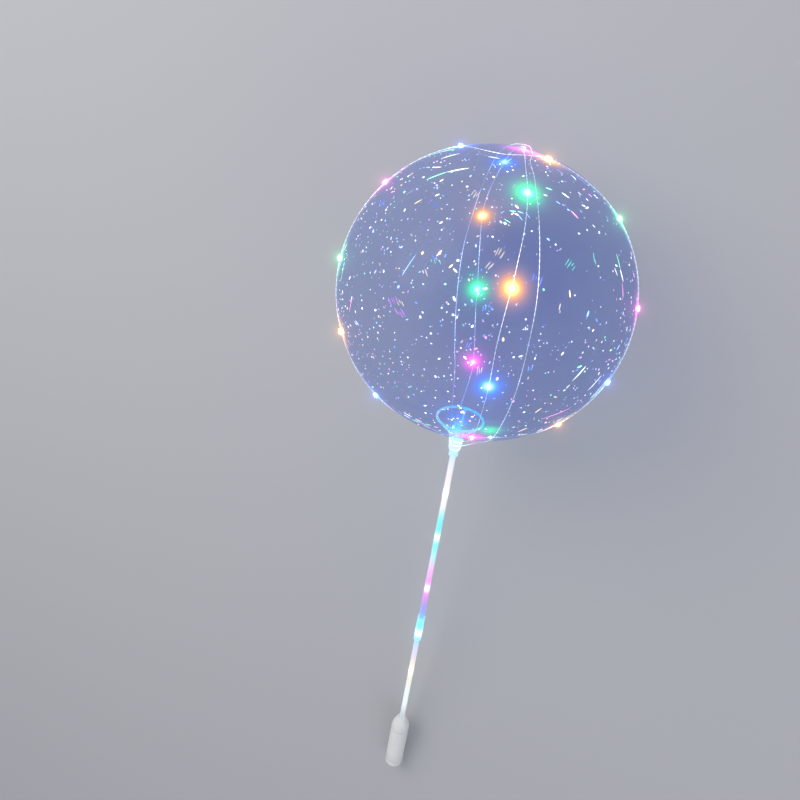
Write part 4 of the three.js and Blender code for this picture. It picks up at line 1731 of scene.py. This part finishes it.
@dataclass
class Stick:
    """Two clear tubes and the coupler that joins them.

    Each zone of the glow painted inside the tubes has a distance below the hub, a colour and a
    reach. The looks are the outer wall's share of the colour, and how much its glow hides.
    """

    lights: list[Light]
    rim: float = 0.00025
    ring_gap: float = 0.006
    rounding: float = 0.0003
    tube_look: tuple[float, float] = (0.34, 0.08)
    coupler_look: tuple[float, float] = (0.85, 0.40)
    # pale glow painted over the whole outer wall
    outer_glow: float = 0.11
    # glow painted round each light inside the stick
    hot_reach: float = 0.006
    hot: float = 1.1
    zones: tuple[tuple[float, Triple, float], ...] = (
        (0.000, (0.62, 0.78, 0.86), 0.014),
        (0.030, (0.86, 0.76, 1.00), 0.020),
        (0.060, (1.00, 0.80, 0.93), 0.026),
        (0.108, (0.02, 0.85, 1.00), 0.017),
        (0.140, (0.04, 0.90, 1.00), 0.018),
        (0.166, (0.40, 0.82, 1.00), 0.014),
        (0.190, (1.00, 0.34, 1.00), 0.017),
        (0.225, (0.95, 0.08, 0.95), 0.018),
        (0.260, (0.22, 0.18, 0.95), 0.015),
        (0.300, (0.00, 0.68, 1.00), 0.026),
        (0.340, (0.70, 0.62, 0.98), 0.014),
        (0.384, (1.00, 0.82, 0.55), 0.024),
        (0.440, (0.86, 0.90, 0.84), 0.028),
        (0.490, (0.44, 0.47, 0.48), 0.020),
    )

    def tube(self, name: str, top: float, end: float) -> Piece:
        """Models one tube with rings along it, so that the glow can vary.

        Args:
            name: the piece's name.
            top: its first station.
            end: its last station.

        Returns:
            The tube, upright.
        """
        steps = max(2, round((end - top) / self.ring_gap))
        outside = [(SIZES.tube_radius, top + (end - top) * i / steps) for i in range(steps + 1)]
        inside = [(SIZES.tube_bore, station) for _, station in reversed(outside)]
        tube = Bench.turned(name, outside + inside, 36)
        return Bench.bevelled(tube, self.rim, 60.0, 2)

    def coupler(self) -> Piece:
        """Returns the coupler, with a bead at each end and a shallow waist."""
        s = SIZES
        middle = (s.tube_joint + s.tube_lower_top) / 2
        half = s.coupler_length / 2
        slim = s.coupler_radius - 0.0003
        stretch = np.linspace(0.0022, half - 0.0034, 6)
        outline = [
            (s.coupler_radius, middle - half),
            (s.coupler_radius, middle - half + 0.0025),
            *((slim, middle - far) for far in reversed(stretch)),
            (s.coupler_radius, middle - 0.0014),
            (s.coupler_radius, middle + 0.0014),
            *((slim, middle + far) for far in stretch),
            (s.coupler_radius, middle + half - 0.0025),
            (s.coupler_radius, middle + half),
            *((s.socket_radius, middle + far) for far in np.linspace(half, -half, 15)),
        ]
        sleeve = Bench.turned("coupler_sleeve", outline, 48)
        return Bench.bevelled(sleeve, self.rounding, 25.0, 2)

    def paint(self, piece: Piece, outer: float, cover: float) -> None:
        """Paints the lights' colours on the bore, and a paler glow on the outer wall.

        Args:
            piece: the tube or the coupler, lying in its place.
            outer: the outer wall's share of the colour.
            cover: how much the outer wall's glow hides.
        """
        upright = LYING.upright(Bench.places(piece))
        below = -upright[:, 2] - SIZES.hub_end
        radius = np.hypot(upright[:, 0], upright[:, 1])
        bore = (radius < (radius.min() + radius.max()) / 2)[:, None]
        weights = np.array([np.exp(-(((below - z[0]) / z[2]) ** 2)) for z in self.zones]) + TINY
        zone = weights.T @ np.array([z[1] for z in self.zones]) / weights.sum(axis=0)[:, None]
        hot = np.zeros(len(below))
        for light in self.lights:
            if not light.on_film:
                away = below + SIZES.hub_end + light.place[2]
                hot += np.exp(-((away / self.hot_reach) ** 2))
        zone = zone + hot[:, None] * self.hot
        glow = np.where(bore, zone, zone * outer + self.outer_glow)
        write_glow(piece, glow, np.where(bore[:, 0], 1.0, cover))

    def build(self) -> list[Piece]:
        """Builds and dresses the tubes and the coupler.

        Returns:
            The three pieces.
        """
        upper = self.tube("tube_upper_clear", SIZES.tube_top, SIZES.tube_joint)
        lower = self.tube("tube_lower_clear", SIZES.tube_lower_top, SIZES.tube_end)
        sleeve = self.coupler()
        clear = ClearPlasticFinish("clear_tube").material()
        named = (
            (upper, "tube_upper", self.tube_look),
            (lower, "tube_lower", self.tube_look),
            (sleeve, "coupler", self.coupler_look),
        )
        for piece, node, look in named:
            Bench.lay_down(piece)
            Bench.smooth(piece)
            self.paint(piece, *look)
            Bench.dress(piece, [clear], node, "clear_plastic")
        return [upper, lower, sleeve]


@dataclass
class Grip:
    """The plain battery grip and its end cap."""

    grooves: int = 9
    groove_depth: float = 0.0005
    groove_pitch: float = 0.0055
    groove_first: float = 0.012
    groove_half: float = 0.0009
    groove_floor: float = 0.0004
    slot_radius: float = 0.0072
    slot_floor: float = 0.0066
    slot_depth: float = 0.0008
    rounding: float = 0.0002
    cap_rounding: float = 0.0003

    def handle(self) -> Piece:
        """Models the hollow grip with shallow grooves round it.

        Returns:
            The grip, upright.
        """
        s = SIZES
        outline = [(s.grip_nose_radius, s.grip_top)]
        for share in (0.15, 0.32, 0.5, 0.68, 0.85, 1.0):
            bulge = math.sin(share * math.pi / 2) ** 1.15
            outline.append(
                (
                    s.grip_nose_radius + (s.grip_radius - s.grip_nose_radius) * bulge,
                    s.grip_top + (s.grip_nose - s.grip_top + 0.004) * share,
                )
            )
        for groove in range(self.grooves):
            station = s.grip_nose + self.groove_first + groove * self.groove_pitch
            outline += [
                (s.grip_radius, station - self.groove_half),
                (s.grip_radius - self.groove_depth, station - self.groove_floor),
                (s.grip_radius - self.groove_depth, station + self.groove_floor),
                (s.grip_radius, station + self.groove_half),
            ]
        outline += [
            (s.grip_radius, s.grip_end),
            (s.bay_radius, s.grip_end),
            (s.bay_radius, s.bay_station),
            (s.wire_hole, s.bay_station),
            (s.wire_hole, s.grip_floor),
            (s.socket_radius, s.grip_floor),
            (s.socket_radius, s.grip_top),
        ]
        return Bench.bevelled(Bench.turned("grip_handle", outline), self.rounding, 25.0, 2)

    def cap(self) -> Piece:
        """Returns the end cap, with its plug and a coin slot in its outer face."""
        s = SIZES
        outline = [
            (s.axis_hole, s.cap_plug),
            (s.plug_radius, s.cap_plug),
            (s.plug_radius, s.cap_face),
            (s.grip_radius, s.cap_face),
            (s.grip_radius, s.cap_end),
            (self.slot_radius, s.cap_end),
            (self.slot_floor, s.cap_end - self.slot_depth),
            (s.axis_hole, s.cap_end - self.slot_depth),
        ]
        return Bench.bevelled(Bench.turned("grip_end_cap", outline), self.cap_rounding, 30.0, 2)

    def build(self) -> list[Piece]:
        """Builds and dresses the grip and its cap.

        Returns:
            The two pieces.
        """
        white = WhitePlasticFinish().material()
        named = ((self.handle(), "grip"), (self.cap(), "end_cap"))
        for piece, node in named:
            Bench.lay_down(piece)
            Bench.smooth(piece, 30.0)
            Bench.dress(piece, [white], node, "white_plastic")
        return [piece for piece, _ in named]


# ---------------------------------------------------------------- the studio


@dataclass(frozen=True)
class Studio:
    """The pale floor, the soft lights and the camera.

    Each lamp has a name, a place, a power in watts, a size and a colour.
    """

    camera_place: Triple = (0.2196, 0.1602, 1.0300)
    camera_aim: Triple = (-0.0704, -0.1506, 0.1644)
    camera_up: Triple = (-0.30506, 0.92422, -0.22968)
    lens: float = 36.0
    lamps: tuple[tuple[str, Triple, float, float, Triple], ...] = (
        ("key", (-1.3, 0.9, 1.9), 29.0, 2.0, (1.0, 0.98, 0.95)),
        ("fill", (1.7, -0.8, 1.5), 6.6, 1.6, (0.93, 0.96, 1.0)),
        ("rim", (0.2, 2.2, 0.8), 4.0, 0.9, (0.95, 0.97, 1.0)),
    )
    lamp_aim: Triple = (0.0, -0.2, 0.1)
    sky: Rgba = (0.88, 0.92, 1.0, 1.0)
    sky_strength: float = 0.50
    floor_height: float = -0.0002

    def camera(self) -> None:
        """Makes the camera at the photograph's viewing angle."""
        data = bpy.data.cameras.new("camera")
        data.lens = self.lens
        data.sensor_width = 36.0
        data.clip_start = 0.02
        data.clip_end = 50.0
        camera = Bench.put("camera", data)
        back = (Vector(self.camera_place) - Vector(self.camera_aim)).normalized()
        up = Vector(self.camera_up)
        right = up.cross(back).normalized()
        up = back.cross(right)
        turn = Matrix((right, up, back)).transposed().to_4x4()
        camera.matrix_world = Matrix.Translation(self.camera_place) @ turn
        bpy.context.scene.camera = camera

    def floor(self) -> None:
        """Makes the pale floor."""
        Bench.clear()
        bpy.ops.mesh.primitive_plane_add(size=60.0, location=(0.0, 0.0, self.floor_height))
        floor = bpy.context.object
        floor.name = "floor"
        floor.data.materials.append(FloorFinish().material())

    def lamp(self, name: str, place: Triple, power: float, size: float, colour: Triple) -> None:
        """Hangs one soft round lamp that points at the balloon.

        Args:
            name: the lamp's name.
            place: where it hangs.
            power: its power in watts.
            size: its width.
            colour: its light's colour.
        """
        data = bpy.data.lights.new(name, "AREA")
        data.energy = power
        data.shape = "DISK"
        data.size = size
        data.color = colour
        lamp = Bench.put(name, data)
        lamp.location = place
        lamp.rotation_mode = "QUATERNION"
        towards = Vector(self.lamp_aim) - Vector(place)
        lamp.rotation_quaternion = towards.to_track_quat("-Z", "Y")

    def build(self) -> None:
        """Sets the floor, the lamps, the surroundings and the picture's tones."""
        self.floor()
        for lamp in self.lamps:
            self.lamp(*lamp)
        world = bpy.data.worlds.new("studio")
        world.use_nodes = True
        sky = world.node_tree.nodes["Background"]
        sky.inputs["Color"].default_value = self.sky
        sky.inputs["Strength"].default_value = self.sky_strength
        bpy.context.scene.world = world
        bpy.context.scene.view_settings.view_transform = "Standard"

    def soften(self) -> None:
        """Adds the glow that bright lights leave in a picture."""
        scene = bpy.context.scene
        scene.use_nodes = True
        tree = scene.node_tree
        tree.nodes.clear()
        layers = tree.nodes.new("CompositorNodeRLayers")
        glare = tree.nodes.new("CompositorNodeGlare")
        glare.glare_type = "FOG_GLOW"
        glare.quality = "HIGH"
        for name, setting in (("Threshold", 1.0), ("Strength", 0.85), ("Size", 0.3)):
            if name in glare.inputs:
                glare.inputs[name].default_value = setting
        end = tree.nodes.new("CompositorNodeComposite")
        tree.links.new(layers.outputs["Image"], glare.inputs["Image"])
        tree.links.new(glare.outputs["Image"], end.inputs["Image"])


def main() -> None:
    """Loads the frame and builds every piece."""
    logging.basicConfig(level=logging.INFO, format="%(name)s: %(message)s")
    studio = Studio()
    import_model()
    studio.camera()
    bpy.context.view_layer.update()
    string = LightString()
    lights = string.lights
    makers = (Balloon(lights), Cup(lights), Stick(lights), Grip(), string)
    for maker in makers:
        for piece in maker.build():
            LOG.info("%s: %d faces", piece.name, len(piece.data.polygons))
    studio.build()
    studio.soften()


if __name__ == "__main__":
    main()
